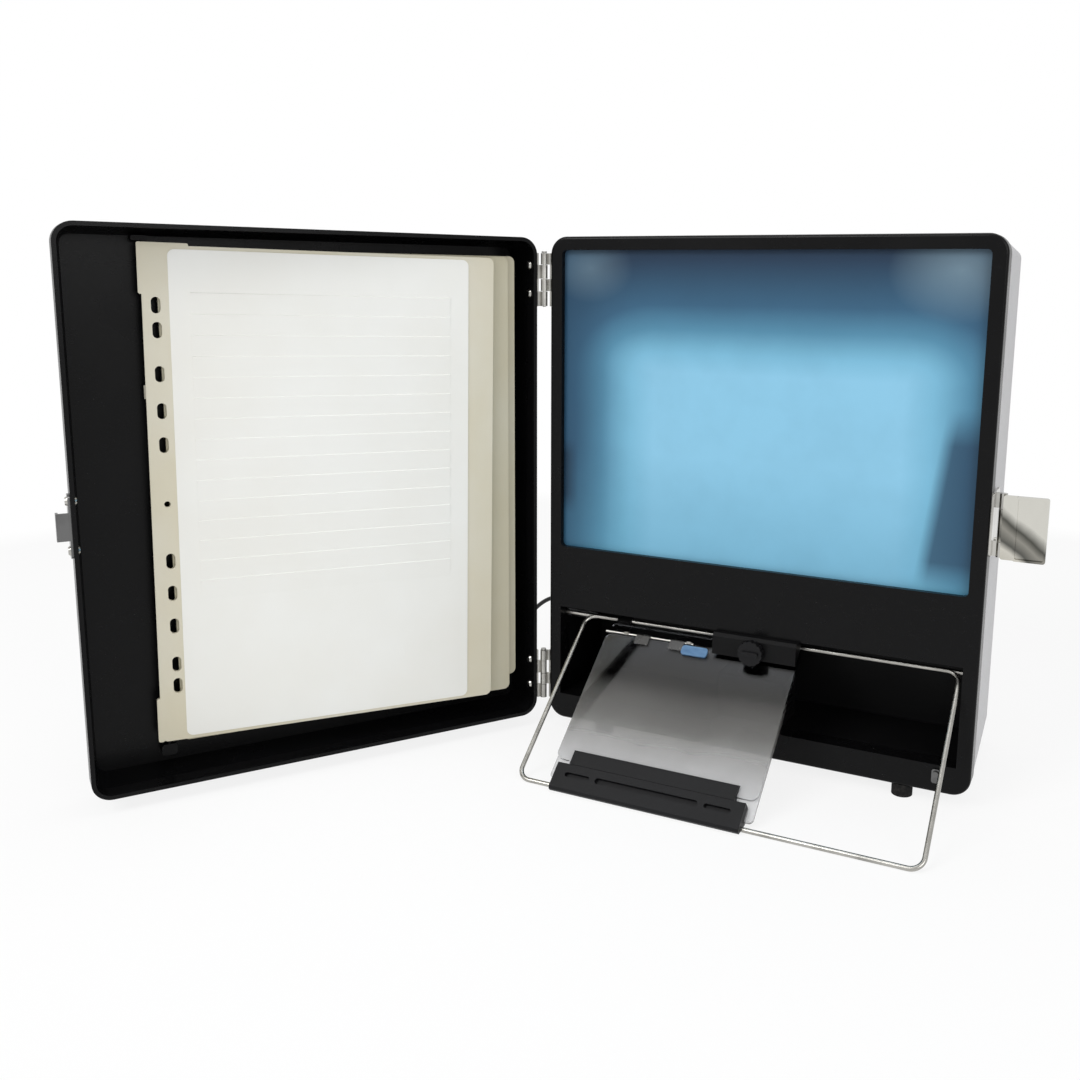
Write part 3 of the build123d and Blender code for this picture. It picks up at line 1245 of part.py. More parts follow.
def route_radii(points):
    """Fillet radius for each corner: 0.45 of the shorter run over the tangent of half the turn."""
    radii = []
    for before, here, after in zip(points, points[1:], points[2:]):
        first = Vector(*here) - Vector(*before)
        second = Vector(*after) - Vector(*here)
        turn = radians(first.get_angle(second))
        radii.append(0.45 * min(first.length, second.length) / tan(turn / 2))
    return radii


RADII = route_radii(LEAD_ROUTE)
print("lead radii", [round(r, 1) for r in RADII])
with BuildPart() as power_lead:
    with BuildLine() as lead_line:
        FilletPolyline(*LEAD_ROUTE, radius=RADII)
    with BuildSketch(Plane(origin=LEAD_ROUTE[0], z_dir=Vector(*LEAD_ROUTE[1]) - Vector(*LEAD_ROUTE[0]))):
        Circle(LEAD_D / 2)
    sweep()
print("lead volume", round(power_lead.part.volume / (pi * LEAD_D**2 / 4 * lead_line.wire().length), 4))
print("lead length", round(lead_line.wire().length, 1))
keep(power_lead, "power_lead")

# The far end leaves the coil along its side.
PLUG_Y = COIL_Y - COIL_R + LEAD_D / 2
with BuildPart() as lead_plug:
    with BuildSketch(Plane.YZ.offset(COIL_X - COIL_R)) as plug_sleeve:
        with Locations((PLUG_Y, -FOOT_H + 4.5)):
            Circle(2.2)
    extrude(amount=COIL_R - 12.8)
    with BuildSketch(Plane.YZ.offset(COIL_X - COIL_R)) as plug_tail:
        with Locations((PLUG_Y, -FOOT_H + 4.5)):
            Circle(3)
    extrude(amount=-12)
    with BuildSketch(Plane.YZ.offset(COIL_X - COIL_R - 12)) as plug_body:
        with Locations((PLUG_Y, -FOOT_H + 9)):
            RectangleRounded(24, 18, 4)
    extrude(amount=-30)
keep(lead_plug, "lead_plug")

with BuildPart() as plug_pins:
    with BuildSketch(Plane.YZ.offset(COIL_X - COIL_R - 42)) as pins:
        with Locations((PLUG_Y - 6.5, -FOOT_H + 9), (PLUG_Y + 6.5, -FOOT_H + 9)):
            Rectangle(1.6, 6.3)
    extrude(amount=-17)
keep(plug_pins, "plug_pins")

# ================================================================ shared origin and output
CORD = ("power_lead", "lead_coil", "lead_plug", "plug_pins", "cord_gland")
boxes = [
    (where * node.part).bounding_box() for node, where in ALL if node.part.label not in CORD
]
SHIFT = (
    -(min(box.min.X for box in boxes) + max(box.max.X for box in boxes)) / 2,
    -(min(box.min.Y for box in boxes) + max(box.max.Y for box in boxes)) / 2,
    -min(box.min.Z for box in boxes),
)
ORIGIN = Location(SHIFT)
print("shift", [round(value, 3) for value in SHIFT])
for node, where in ALL:
    label = node.part.label
    placed = ORIGIN * where * node.part
    placed.label = label
    export_step(placed, f"parts/{label}.step")
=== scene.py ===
"""Microfiche reader with a hinged index tray: finishes, index pockets, lead, light and camera."""

from math import cos, pi, radians, sin

import bmesh
import bpy
from mathutils import Matrix, Vector


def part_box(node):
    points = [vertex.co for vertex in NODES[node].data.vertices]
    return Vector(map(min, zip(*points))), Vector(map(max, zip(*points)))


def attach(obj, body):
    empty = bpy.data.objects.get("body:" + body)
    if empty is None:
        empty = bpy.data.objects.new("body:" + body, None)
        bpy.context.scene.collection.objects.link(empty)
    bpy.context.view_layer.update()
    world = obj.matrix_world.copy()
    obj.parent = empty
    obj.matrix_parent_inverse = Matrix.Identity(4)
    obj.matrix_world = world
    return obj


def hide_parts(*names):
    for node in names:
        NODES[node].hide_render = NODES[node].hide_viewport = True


bl_info = {
    "name": "Microfiche Reader",
    "version": (1, 0, 0),
    "blender": (4, 5, 0),
    "location": "View3D > Sidebar > Reader",
    "description": "Finishes, index pockets, lead and studio for a portable microfiche reader",
    "category": "Object",
}

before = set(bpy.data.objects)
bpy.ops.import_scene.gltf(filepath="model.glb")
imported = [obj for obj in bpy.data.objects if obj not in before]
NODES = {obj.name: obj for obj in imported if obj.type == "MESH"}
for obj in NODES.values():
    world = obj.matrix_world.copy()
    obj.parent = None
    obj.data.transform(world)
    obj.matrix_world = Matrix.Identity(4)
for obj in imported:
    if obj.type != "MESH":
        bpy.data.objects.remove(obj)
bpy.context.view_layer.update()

# Case front-left lower corner in the shared frame, in millimetres.
CORNER = (-64.429, 64.825, 8.0)

# Lead from the gland to the table, in the case frame, in millimetres.
LEAD_ROUTE = [
    (-8.06, 76, 66),
    (-24, 76, 66),
    (-43, 75.5, 62),
    (-60, 77, 47),
    (-70, 80, 25),
    (-79, 86, 5),
    (-93, 97, -6.3),
    (-122, 104, -6.3),
]
# Coil of spare lead: centre, ring radii and the ring of each turn, in millimetres.
COIL_CENTRE = (-172.0, 104.0)
RING_RADII = (20.9, 17.4, 13.9)
RING_ORDER = (0, 1, 2, 2, 1, 0, 0, 1, 2, 2, 1, 0)
ENTRY_ANGLE = 297.0
OUTSIDE_RADIUS = 24.3
TABLE_LEVEL = -6.3
TURNS_A_LAYER = 3
STEPS_A_TURN = 16
LAST_DROP = 3.1
# Last points of the lead, from the coil into the plug's sleeve.
PLUG_TAIL = [(-176.0, 79.9, -3.3), (-180.6, 82.2, -3.5), (-184.7, 83.0, -3.5)]

# Pocket sheet on the front leaf, in metres.
SHEET_CORNER = 0.004
SHEET_BACKING = 0.00035
SHEET_SEAT = 0.00002
STRIP_SEAT = 0.0003
STRIP_STEP = 0.0001
STRIP_LEFT = 0.0115
STRIP_RIGHT = 0.0125
STRIP_TOP = 0.0245
MOUTH_FOOT = 0.0006
MOUTH_EDGE = 0.0004
RIB_SPREAD = 0.006
RIB_WIDTH = 0.0012
RIB_HEIGHT = 0.00022

# Camera, solved from the photograph's corners: degrees, millimetres and metres.
CAMERA_YAW, CAMERA_PITCH, CAMERA_ROLL = -25.63, 10.01, 0.73
CAMERA_LENS = 36.61
CAMERA_SHIFT = (-0.0676, -0.0553)
CAMERA_PLACE = (0.29897, -0.59138, 0.3118)


def case_point(x, y, z):
    """A point of the case frame, in millimetres, as metres in the shared frame."""
    return Vector((x + CORNER[0], y + CORNER[1], z + CORNER[2])) / 1000


def srgb(red, green, blue):
    """Screen colour, 0 to 255, as linear red, green and blue."""
    linear = []
    for value in (red, green, blue):
        value /= 255
        linear.append(value / 12.92 if value <= 0.04045 else ((value + 0.055) / 1.055) ** 2.4)
    return tuple(linear)


def ease(value):
    """Smooth step from 0 to 1."""
    value = max(0.0, min(1.0, value))
    return value * value * (3 - 2 * value)


# ------------------------------------------------------------------ node helpers
class Finish:
    """A new material with a few helpers for its nodes."""

    def __init__(self, name, colour, roughness, metallic=0.0, specular=0.5):
        self.material = bpy.data.materials.new(name)
        self.material.use_nodes = True
        self.tree = self.material.node_tree
        self.shader = self.tree.nodes["Principled BSDF"]
        self.shader.inputs["Base Color"].default_value = (*colour[:3], 1.0)
        self.shader.inputs["Roughness"].default_value = roughness
        self.shader.inputs["Metallic"].default_value = metallic
        self.shader.inputs["Specular IOR Level"].default_value = specular

    def node(self, kind, **settings):
        """Add a node; settings are its attributes."""
        node = self.tree.nodes.new(kind)
        for key, value in settings.items():
            setattr(node, key, value)
        return node

    def link(self, output, target):
        """Link a socket to an input."""
        self.tree.links.new(output, target)

    def place(self, scale=(1, 1, 1), location=(0, 0, 0)):
        """Object coordinates through a Mapping node."""
        coordinates = self.node("ShaderNodeTexCoord")
        mapping = self.node("ShaderNodeMapping")
        mapping.inputs["Scale"].default_value = scale
        mapping.inputs["Location"].default_value = location
        self.link(coordinates.outputs["Object"], mapping.inputs["Vector"])
        return mapping.outputs["Vector"]

    def noise(self, scale, detail=3.0, stretch=(1, 1, 1)):
        """Noise of so many features a metre."""
        noise = self.node("ShaderNodeTexNoise")
        noise.inputs["Scale"].default_value = scale
        noise.inputs["Detail"].default_value = detail
        self.link(self.place(stretch), noise.inputs["Vector"])
        return noise.outputs["Fac"]

    def spread(self, value, low, high, out_low, out_high):
        """Remap a value, clamped."""
        remap = self.node("ShaderNodeMapRange")
        remap.inputs["From Min"].default_value = low
        remap.inputs["From Max"].default_value = high
        remap.inputs["To Min"].default_value = out_low
        remap.inputs["To Max"].default_value = out_high
        self.link(value, remap.inputs["Value"])
        return remap.outputs["Result"]

    def maths(self, operation, first, second=None):
        """A Math node; each operand is a socket or a number."""
        node = self.node("ShaderNodeMath", operation=operation)
        for index, operand in enumerate((first, second)):
            if operand is None:
                continue
            if isinstance(operand, (int, float)):
                node.inputs[index].default_value = operand
            else:
                self.link(operand, node.inputs[index])
        return node.outputs["Value"]

    def ramp(self, value, stops):
        """Colour ramp of (position, linear colour) stops."""
        ramp = self.node("ShaderNodeValToRGB")
        elements = ramp.color_ramp.elements
        elements[0].position, elements[0].color = stops[0][0], (*stops[0][1][:3], 1.0)
        elements[1].position, elements[1].color = stops[-1][0], (*stops[-1][1][:3], 1.0)
        for position, colour in stops[1:-1]:
            elements.new(position).color = (*colour[:3], 1.0)
        self.link(value, ramp.inputs["Fac"])
        return ramp.outputs["Color"]

    def blend(self, value, first, second):
        """Mix two colours, each a socket or a linear colour."""
        mix = self.node("ShaderNodeMix", data_type="RGBA")
        if isinstance(value, (int, float)):
            mix.inputs[0].default_value = value
        else:
            self.link(value, mix.inputs[0])
        for index, colour in ((6, first), (7, second)):
            if isinstance(colour, (tuple, list)):
                mix.inputs[index].default_value = (*colour[:3], 1.0)
            else:
                self.link(colour, mix.inputs[index])
        return mix.outputs[2]

    def colour(self, socket):
        """Use a colour socket as the base colour."""
        self.link(socket, self.shader.inputs["Base Color"])

    def roughness(self, socket):
        """Use a value socket as the roughness."""
        self.link(socket, self.shader.inputs["Roughness"])

    def relief(self, height, strength, depth):
        """Bump of so many metres."""
        bump = self.node("ShaderNodeBump")
        bump.inputs["Strength"].default_value = strength
        bump.inputs["Distance"].default_value = depth
        self.link(height, bump.inputs["Height"])
        self.link(bump.outputs["Normal"], self.shader.inputs["Normal"])


def dress(finish, *names):
    """Give CAD nodes a finish."""
    for name in names:
        for slot in NODES[name].material_slots:
            slot.material = finish.material


def moulded(name, colour, roughness, specular, grain):
    """Moulded plastic: fine grain, uneven sheen and faint handling marks."""
    finish = Finish(name, colour, roughness, specular=specular)
    cloud = finish.noise(22.0, 4.0)
    scuff = finish.noise(160.0, 6.0, (1.0, 1.0, 3.0))
    marks = finish.spread(scuff, 0.60, 0.74, 0.0, 0.10)
    pale = tuple(min(1.0, channel * 1.6 + 0.012) for channel in colour[:3])
    deep = tuple(channel * 0.8 for channel in colour[:3])
    finish.colour(finish.blend(marks, finish.ramp(cloud, [(0.3, deep), (0.7, colour)]), pale))
    finish.roughness(finish.spread(cloud, 0.3, 0.7, roughness - 0.05, roughness + 0.07))
    finish.relief(finish.noise(grain, 2.0), 0.35, 0.00012)
    return finish


def plated(name, colour, low, high, stretch, depth):
    """Plated or drawn metal with lines along one direction."""
    finish = Finish(name, colour, low, metallic=1.0)
    line = finish.noise(260.0, 4.0, stretch)
    tarnish = finish.noise(60.0, 4.0)
    dull = tuple(channel * 0.72 for channel in colour[:3])
    finish.colour(finish.ramp(tarnish, [(0.35, dull), (0.6, colour)]))
    finish.roughness(finish.spread(line, 0.3, 0.7, low, high))
    finish.relief(line, 0.25, depth)
    return finish


def clear_glass(name, colour, roughness):
    """Float or lens glass with a few smears."""
    finish = Finish(name, colour, roughness)
    finish.shader.inputs["Transmission Weight"].default_value = 1.0
    finish.shader.inputs["IOR"].default_value = 1.5
    smear = finish.noise(28.0, 5.0)
    finish.roughness(finish.spread(smear, 0.45, 0.75, roughness, roughness + 0.06))
    return finish


def board(name, colour, fleck):
    """Cream board: fibres and a slight yellowing."""
    finish = Finish(name, colour, 0.75, specular=0.25)
    cloud = finish.noise(14.0, 3.0)
    fibre = finish.noise(1800.0, 3.0, (1.0, 1.0, 0.4))
    warm = (colour[0] * 0.93, colour[1] * 0.90, colour[2] * 0.82)
    base = finish.ramp(cloud, [(0.3, warm), (0.7, colour)])
    finish.colour(finish.blend(finish.spread(fibre, 0.55, 0.75, 0.0, fleck), base, warm))
    finish.relief(fibre, 0.2, 0.00006)
    return finish


# ------------------------------------------------------------------ properties
class ReaderColours(bpy.types.PropertyGroup):
    """Colours of the reader's finishes."""

    moulding: bpy.props.FloatVectorProperty(
        name="Moulding",
        description="Front frame and tray moulding",
        subtype="COLOR",
        size=3,
        min=0.0,
        max=1.0,
        default=srgb(11, 11, 12),
    )
    fittings: bpy.props.FloatVectorProperty(
        name="Fittings",
        description="Black knobs, grips and inner parts",
        subtype="COLOR",
        size=3,
        min=0.0,
        max=1.0,
        default=srgb(13, 13, 14),
    )
    shell: bpy.props.FloatVectorProperty(
        name="Shell",
        description="Grey rear shell",
        subtype="COLOR",
        size=3,
        min=0.0,
        max=1.0,
        default=srgb(196, 196, 198),
    )
    screen_centre: bpy.props.FloatVectorProperty(
        name="Screen centre",
        description="Screen where it is brightest",
        subtype="COLOR",
        size=3,
        min=0.0,
        max=1.0,
        default=srgb(134, 190, 218),
    )
    screen_edge: bpy.props.FloatVectorProperty(
        name="Screen edge",
        description="Screen near its edges",
        subtype="COLOR",
        size=3,
        min=0.0,
        max=1.0,
        default=srgb(34, 54, 76),
    )
    nickel: bpy.props.FloatVectorProperty(
        name="Nickel",
        description="Hinges, rivets and wire frame",
        subtype="COLOR",
        size=3,
        min=0.0,
        max=1.0,
        default=(0.50, 0.49, 0.46),
    )
    card: bpy.props.FloatVectorProperty(
        name="Board",
        description="Index leaves",
        subtype="COLOR",
        size=3,
        min=0.0,
        max=1.0,
        default=srgb(218, 214, 199),
    )
    pocket: bpy.props.FloatVectorProperty(
        name="Pockets",
        description="White pocket sheet",
        subtype="COLOR",
        size=3,
        min=0.0,
        max=1.0,
        default=srgb(240, 240, 236),
    )


class ReaderSizes(bpy.types.PropertyGroup):
    """Sizes of the pieces that are made here."""

    lead_width: bpy.props.FloatProperty(
        name="Lead",
        description="Diameter of the lead",
        unit="LENGTH",
        default=0.0032,
    )
    layer_rise: bpy.props.FloatProperty(
        name="Layer",
        description="Height from one layer of the coil to the next",
        unit="LENGTH",
        default=0.00335,
    )
    pocket_count: bpy.props.IntProperty(
        name="Pockets",
        description="Number of pockets on the front leaf",
        default=15,
        min=1,
        max=30,
    )
    pocket_pitch: bpy.props.FloatProperty(
        name="Pocket pitch",
        description="Height of one pocket",
        unit="LENGTH",
        default=0.0124,
    )
    pocket_lip: bpy.props.FloatProperty(
        name="Pocket lip",
        description="How far a pocket's mouth stands proud",
        unit="LENGTH",
        default=0.00035,
    )


# ------------------------------------------------------------------ operators
class READER_OT_mouldings(bpy.types.Operator):
    """Finish the black mouldings of the case, tray and stage"""

    bl_idname = "reader.mouldings"
    bl_label = "Black mouldings"

    def execute(self, context):
        colours = context.scene.reader_colours
        satin = moulded("satin_moulding", tuple(colours.moulding), 0.27, 0.13, 1500.0)
        dress(satin, "front_frame", "door_tray", "screen_retainer")
        matt = moulded("matt_moulding", tuple(colours.fittings), 0.45, 0.14, 2200.0)
        dress(matt, "recess_liner", "focus_block", "rail_guides", "rail_shoes", "lens_mount")
        dress(matt, "index_spine", "mirror_cheeks", "lamp_house", "cord_gland")
        grip = moulded("grip_moulding", srgb(20, 20, 22), 0.40, 0.20, 1800.0)
        dress(grip, "carrier_handle", "glass_grip", "focus_knob", "switch_body", "rocker", "lens_barrel")
        plug = moulded("plug_moulding", srgb(26, 26, 28), 0.5, 0.25, 1400.0)
        dress(plug, "lead_plug")
        foot = Finish("foot_rubber", srgb(22, 22, 22), 0.85, specular=0.2)
        dust = foot.noise(420.0, 5.0)
        foot.colour(foot.ramp(dust, [(0.45, srgb(20, 20, 20)), (0.8, srgb(48, 46, 44))]))
        foot.relief(dust, 0.3, 0.0002)
        dress(foot, "feet")
        return {"FINISHED"}


class READER_OT_shell(bpy.types.Operator):
    """Finish the grey rear shell in stoved paint"""

    bl_idname = "reader.shell"
    bl_label = "Grey shell"

    def execute(self, context):
        colour = tuple(context.scene.reader_colours.shell)
        paint = Finish("grey_paint", colour, 0.42, specular=0.4)
        cloud = paint.noise(9.0, 3.0)
        peel = paint.noise(900.0, 2.0)
        speck = paint.noise(2600.0, 2.0)
        darker = tuple(channel * 0.93 for channel in colour)
        fleck = tuple(channel * 0.80 for channel in colour)
        base = paint.ramp(cloud, [(0.3, darker), (0.7, colour)])
        paint.colour(paint.blend(paint.spread(speck, 0.66, 0.76, 0.0, 0.45), base, fleck))
        paint.roughness(paint.spread(peel, 0.3, 0.7, 0.36, 0.50))
        paint.relief(peel, 0.3, 0.0002)
        dress(paint, "case_shell")
        return {"FINISHED"}


class READER_OT_screen(bpy.types.Operator):
    """Finish the rear-projection screen with a painted glow: pale blue middle, deep blue surround"""

    bl_idname = "reader.screen"
    bl_label = "Projection screen"

    def execute(self, context):
        colours = context.scene.reader_colours
        centre, edge = tuple(colours.screen_centre), tuple(colours.screen_edge)
        low, high = (Vector(corner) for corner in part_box("projection_screen"))
        middle = (low + high) / 2
        half = (high - low) / 2
        glow = Finish("screen_painted_glow", centre, 0.32, specular=0.22)
        # Across and up the sheet, from -1 to 1.
        parts = glow.node("ShaderNodeSeparateXYZ")
        scale = (1 / half.x, 1.0, 1 / half.z)
        shift = (-middle.x / half.x, 0.0, -middle.z / half.z)
        glow.link(glow.place(scale, shift), parts.inputs["Vector"])
        across, up = parts.outputs["X"], parts.outputs["Z"]
        # Distance outside the painted bright oblong of glow.
        side = glow.maths("SUBTRACT", glow.maths("ABSOLUTE", glow.maths("SUBTRACT", across, 0.08)), 0.58)
        over = glow.maths("SUBTRACT", up, 0.22)
        side = glow.maths("MAXIMUM", side, 0.0)
        over = glow.maths("MAXIMUM", over, 0.0)
        square = glow.maths("ADD", glow.maths("MULTIPLY", side, side), glow.maths("MULTIPLY", over, over))
        reach = glow.maths("SQRT", square)
        body = glow.ramp(
            reach,
            [
                (0.0, centre),
                (0.12, srgb(118, 177, 205)),
                (0.27, srgb(80, 132, 160)),
                (0.42, srgb(54, 92, 120)),
                (0.70, edge),
            ],
        )
        # Painted glow falling off: deeper, greener blue towards the lower edge.
        glow_fall = glow.spread(up, -0.30, -1.0, 0.0, 0.5)
        body = glow.blend(glow_fall, body, srgb(88, 150, 178))
        # Painted fall-off of the glow: a darker band down the left side.
        band = glow.spread(across, -0.72, -1.0, 0.0, 0.75)
        body = glow.blend(band, body, srgb(40, 74, 100))
        # Dark patches low on each side, painted where the photograph has reflections.
        slant = glow.maths("ADD", across, glow.maths("MULTIPLY", up, -0.10))
        right = glow.spread(slant, 0.83, 0.89, 0.0, 1.0)
        below = glow.spread(up, 0.10, -0.12, 0.0, 1.0)
        above = glow.spread(up, -0.98, -0.80, 0.0, 1.0)
        outer = glow.spread(across, 1.0, 0.975, 0.0, 1.0)
        inner = glow.maths("MULTIPLY", right, below)
        patch = glow.maths("MULTIPLY", inner, glow.maths("MULTIPLY", above, outer))
        body = glow.blend(glow.maths("MULTIPLY", patch, 0.8), body, srgb(33, 56, 82))
        left = glow.spread(across, -0.90, -0.96, 0.0, 1.0)
        lower = glow.maths(
            "MULTIPLY",
            glow.spread(up, -0.25, -0.35, 0.0, 1.0),
            glow.spread(up, -0.75, -0.62, 0.0, 1.0),
        )
        corner = glow.maths("MULTIPLY", left, lower)
        body = glow.blend(glow.maths("MULTIPLY", corner, 0.7), body, srgb(26, 44, 62))
        # Pale glow near the top corners, painted too.
        for place, width, shade in ((0.86, 0.30, 0.42), (-0.84, 0.22, 0.25)):
            run = glow.maths("ABSOLUTE", glow.maths("SUBTRACT", across, place))
            rise = glow.maths("ABSOLUTE", glow.maths("SUBTRACT", up, 0.86))
            far = glow.maths("ADD", glow.maths("MULTIPLY", run, run), glow.maths("MULTIPLY", rise, rise))
            spot = glow.spread(glow.maths("SQRT", far), width, 0.0, 0.0, shade)
            body = glow.blend(spot, body, srgb(150, 178, 192))
        mottle = glow.noise(36.0, 4.0)
        body = glow.blend(glow.spread(mottle, 0.4, 0.7, 0.0, 0.06), body, edge)
        glow.colour(body)
        glow.relief(glow.noise(3200.0, 2.0), 0.12, 0.00005)
        dress(glow, "projection_screen")
        return {"FINISHED"}


class READER_OT_metalwork(bpy.types.Operator):
    """Finish hinges, rivets, latch, wire frame and the other metal parts"""

    bl_idname = "reader.metalwork"
    bl_label = "Metalwork"

    def execute(self, context):
        nickel = tuple(context.scene.reader_colours.nickel)
        rolled = plated("rolled_nickel", nickel, 0.24, 0.40, (1.0, 1.0, 0.08), 0.00004)
        dress(rolled, "case_leaves", "door_leaves", "hinge_pins")
        dark = plated("dark_steel", (0.16, 0.16, 0.16), 0.16, 0.32, (1.0, 1.0, 0.1), 0.00004)
        dress(dark, "keeper", "stow_hook", "glass_clips")
        turned = plated("turned_heads", nickel, 0.18, 0.34, (1.0, 1.0, 1.0), 0.00003)
        dress(turned, "case_rivets", "door_rivets", "latch_rivets", "shell_screws")
        drawn = plated("drawn_wire", (0.46, 0.45, 0.42), 0.20, 0.34, (0.06, 1.0, 1.0), 0.00003)
        dress(drawn, "wire_frame", "hinge_rod", "rod_collars")
        bright = plated("bright_plate", (0.52, 0.51, 0.48), 0.08, 0.20, (1.0, 1.0, 0.15), 0.00003)
        dress(bright, "latch_base", "latch_bail")
        # The lever's bright plating, with painted bands for what its pressed face reflects.
        lever = plated("lever_plate", (0.42, 0.41, 0.38), 0.07, 0.18, (1.0, 1.0, 0.3), 0.00003)
        low, high = (Vector(corner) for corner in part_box("latch_lever"))
        parts = lever.node("ShaderNodeSeparateXYZ")
        lever.link(lever.place(), parts.inputs["Vector"])
        climb = lever.spread(parts.outputs["Z"], low.z, high.z, 0.0, 1.0)
        along = lever.spread(parts.outputs["X"], low.x, high.x, 0.0, 0.5)
        sway = lever.maths("MULTIPLY", lever.noise(45.0, 2.0), 0.25)
        sweep = lever.maths("ADD", climb, lever.maths("ADD", along, sway))
        lever.colour(
            lever.ramp(
                sweep,
                [
                    (0.10, (0.50, 0.48, 0.42)),
                    (0.34, (0.60, 0.58, 0.52)),
                    (0.46, (0.10, 0.10, 0.09)),
                    (0.66, (0.28, 0.27, 0.24)),
                    (0.80, (0.08, 0.08, 0.07)),
                    (1.0, (0.62, 0.61, 0.56)),
                ],
            )
        )
        dress(lever, "latch_lever")
        pressed = plated("pressed_sheet", (0.55, 0.55, 0.54), 0.30, 0.48, (0.2, 1.0, 1.0), 0.00004)
        dress(pressed, "mirror_gussets", "reflector")
        brass = plated("brass_pins", (0.70, 0.53, 0.26), 0.22, 0.36, (0.1, 1.0, 1.0), 0.00003)
        dress(brass, "plug_pins")
        stack = Finish("iron_stack", srgb(70, 62, 58), 0.55, metallic=0.6)
        wave = stack.node("ShaderNodeTexWave", wave_type="BANDS", bands_direction="X")
        wave.inputs["Scale"].default_value = 320.0
        wave.inputs["Distortion"].default_value = 0.4
        stack.link(stack.place(), wave.inputs["Vector"])
        stack.colour(stack.ramp(wave.outputs["Fac"], [(0.2, srgb(44, 36, 32)), (0.8, srgb(96, 86, 78))]))
        stack.relief(wave.outputs["Fac"], 0.5, 0.0003)
        dress(stack, "transformer")
        return {"FINISHED"}


class READER_OT_glassware(bpy.types.Operator):
    """Finish the film plates, lenses, lamp, mirrors and the blue lift tab"""

    bl_idname = "reader.glassware"
    bl_label = "Glass and mirrors"

    def execute(self, context):
        # Film plates: clear at the hinge, turning whiter and less clear towards the grip, a painted
        # reflection of the light overhead.
        low, high = (Vector(corner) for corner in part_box("upper_glass"))
        plate = clear_glass("film_plate", (0.94, 0.95, 0.96), 0.03)
        plate.shader.inputs["Specular IOR Level"].default_value = 0.2
        parts = plate.node("ShaderNodeSeparateXYZ")
        plate.link(plate.place(), parts.inputs["Vector"])
        reflection_fall = plate.spread(parts.outputs["Z"], high.z, low.z, 0.0, 1.0)
        reflection_fall = plate.maths("ADD", reflection_fall, plate.spread(plate.noise(20.0, 3.0), 0.3, 0.7, -0.03, 0.03))
        clear = plate.ramp(
            reflection_fall,
            [
                (0.30, (1.0, 1.0, 1.0)),
                (0.42, (0.90, 0.90, 0.90)),
                (0.95, (0.58, 0.58, 0.58)),
            ],
        )
        plate.link(clear, plate.shader.inputs["Transmission Weight"])
        plate.colour(
            plate.ramp(
                reflection_fall,
                [
                    (0.0, srgb(196, 200, 206)),
                    (0.3, srgb(176, 175, 172)),
                    (0.6, srgb(176, 175, 172)),
                    (1.0, srgb(232, 232, 233)),
                ],
            )
        )
        dress(plate, "lower_glass", "upper_glass")
        lens = clear_glass("lens_glass", (0.97, 0.98, 0.97), 0.01)
        dress(lens, "projection_lens", "condenser_lens", "lamp_bulb")
        silver = Finish("front_silver", (0.90, 0.91, 0.92), 0.03, metallic=1.0)
        haze = silver.noise(40.0, 5.0)
        silver.roughness(silver.spread(haze, 0.4, 0.8, 0.02, 0.10))
        silver.colour(silver.ramp(haze, [(0.3, (0.84, 0.85, 0.87)), (0.7, (0.92, 0.93, 0.94))]))
        dress(silver, "small_mirror", "main_mirror")
        blue = Finish("blue_tab", srgb(108, 152, 196), 0.3, specular=0.4)
        blue.shader.inputs["Transmission Weight"].default_value = 0.35
        streak = blue.noise(300.0, 3.0, (0.3, 1.0, 1.0))
        blue.colour(blue.ramp(streak, [(0.3, srgb(84, 128, 176)), (0.7, srgb(122, 166, 206))]))
        dress(blue, "lift_tab")
        fired = Finish("fired_ceramic", srgb(226, 220, 206), 0.35)
        craze = fired.noise(700.0, 4.0)
        fired.colour(fired.ramp(craze, [(0.35, srgb(206, 198, 182)), (0.65, srgb(230, 226, 214))]))
        fired.relief(craze, 0.2, 0.0001)
        dress(fired, "lamp_socket")
        return {"FINISHED"}


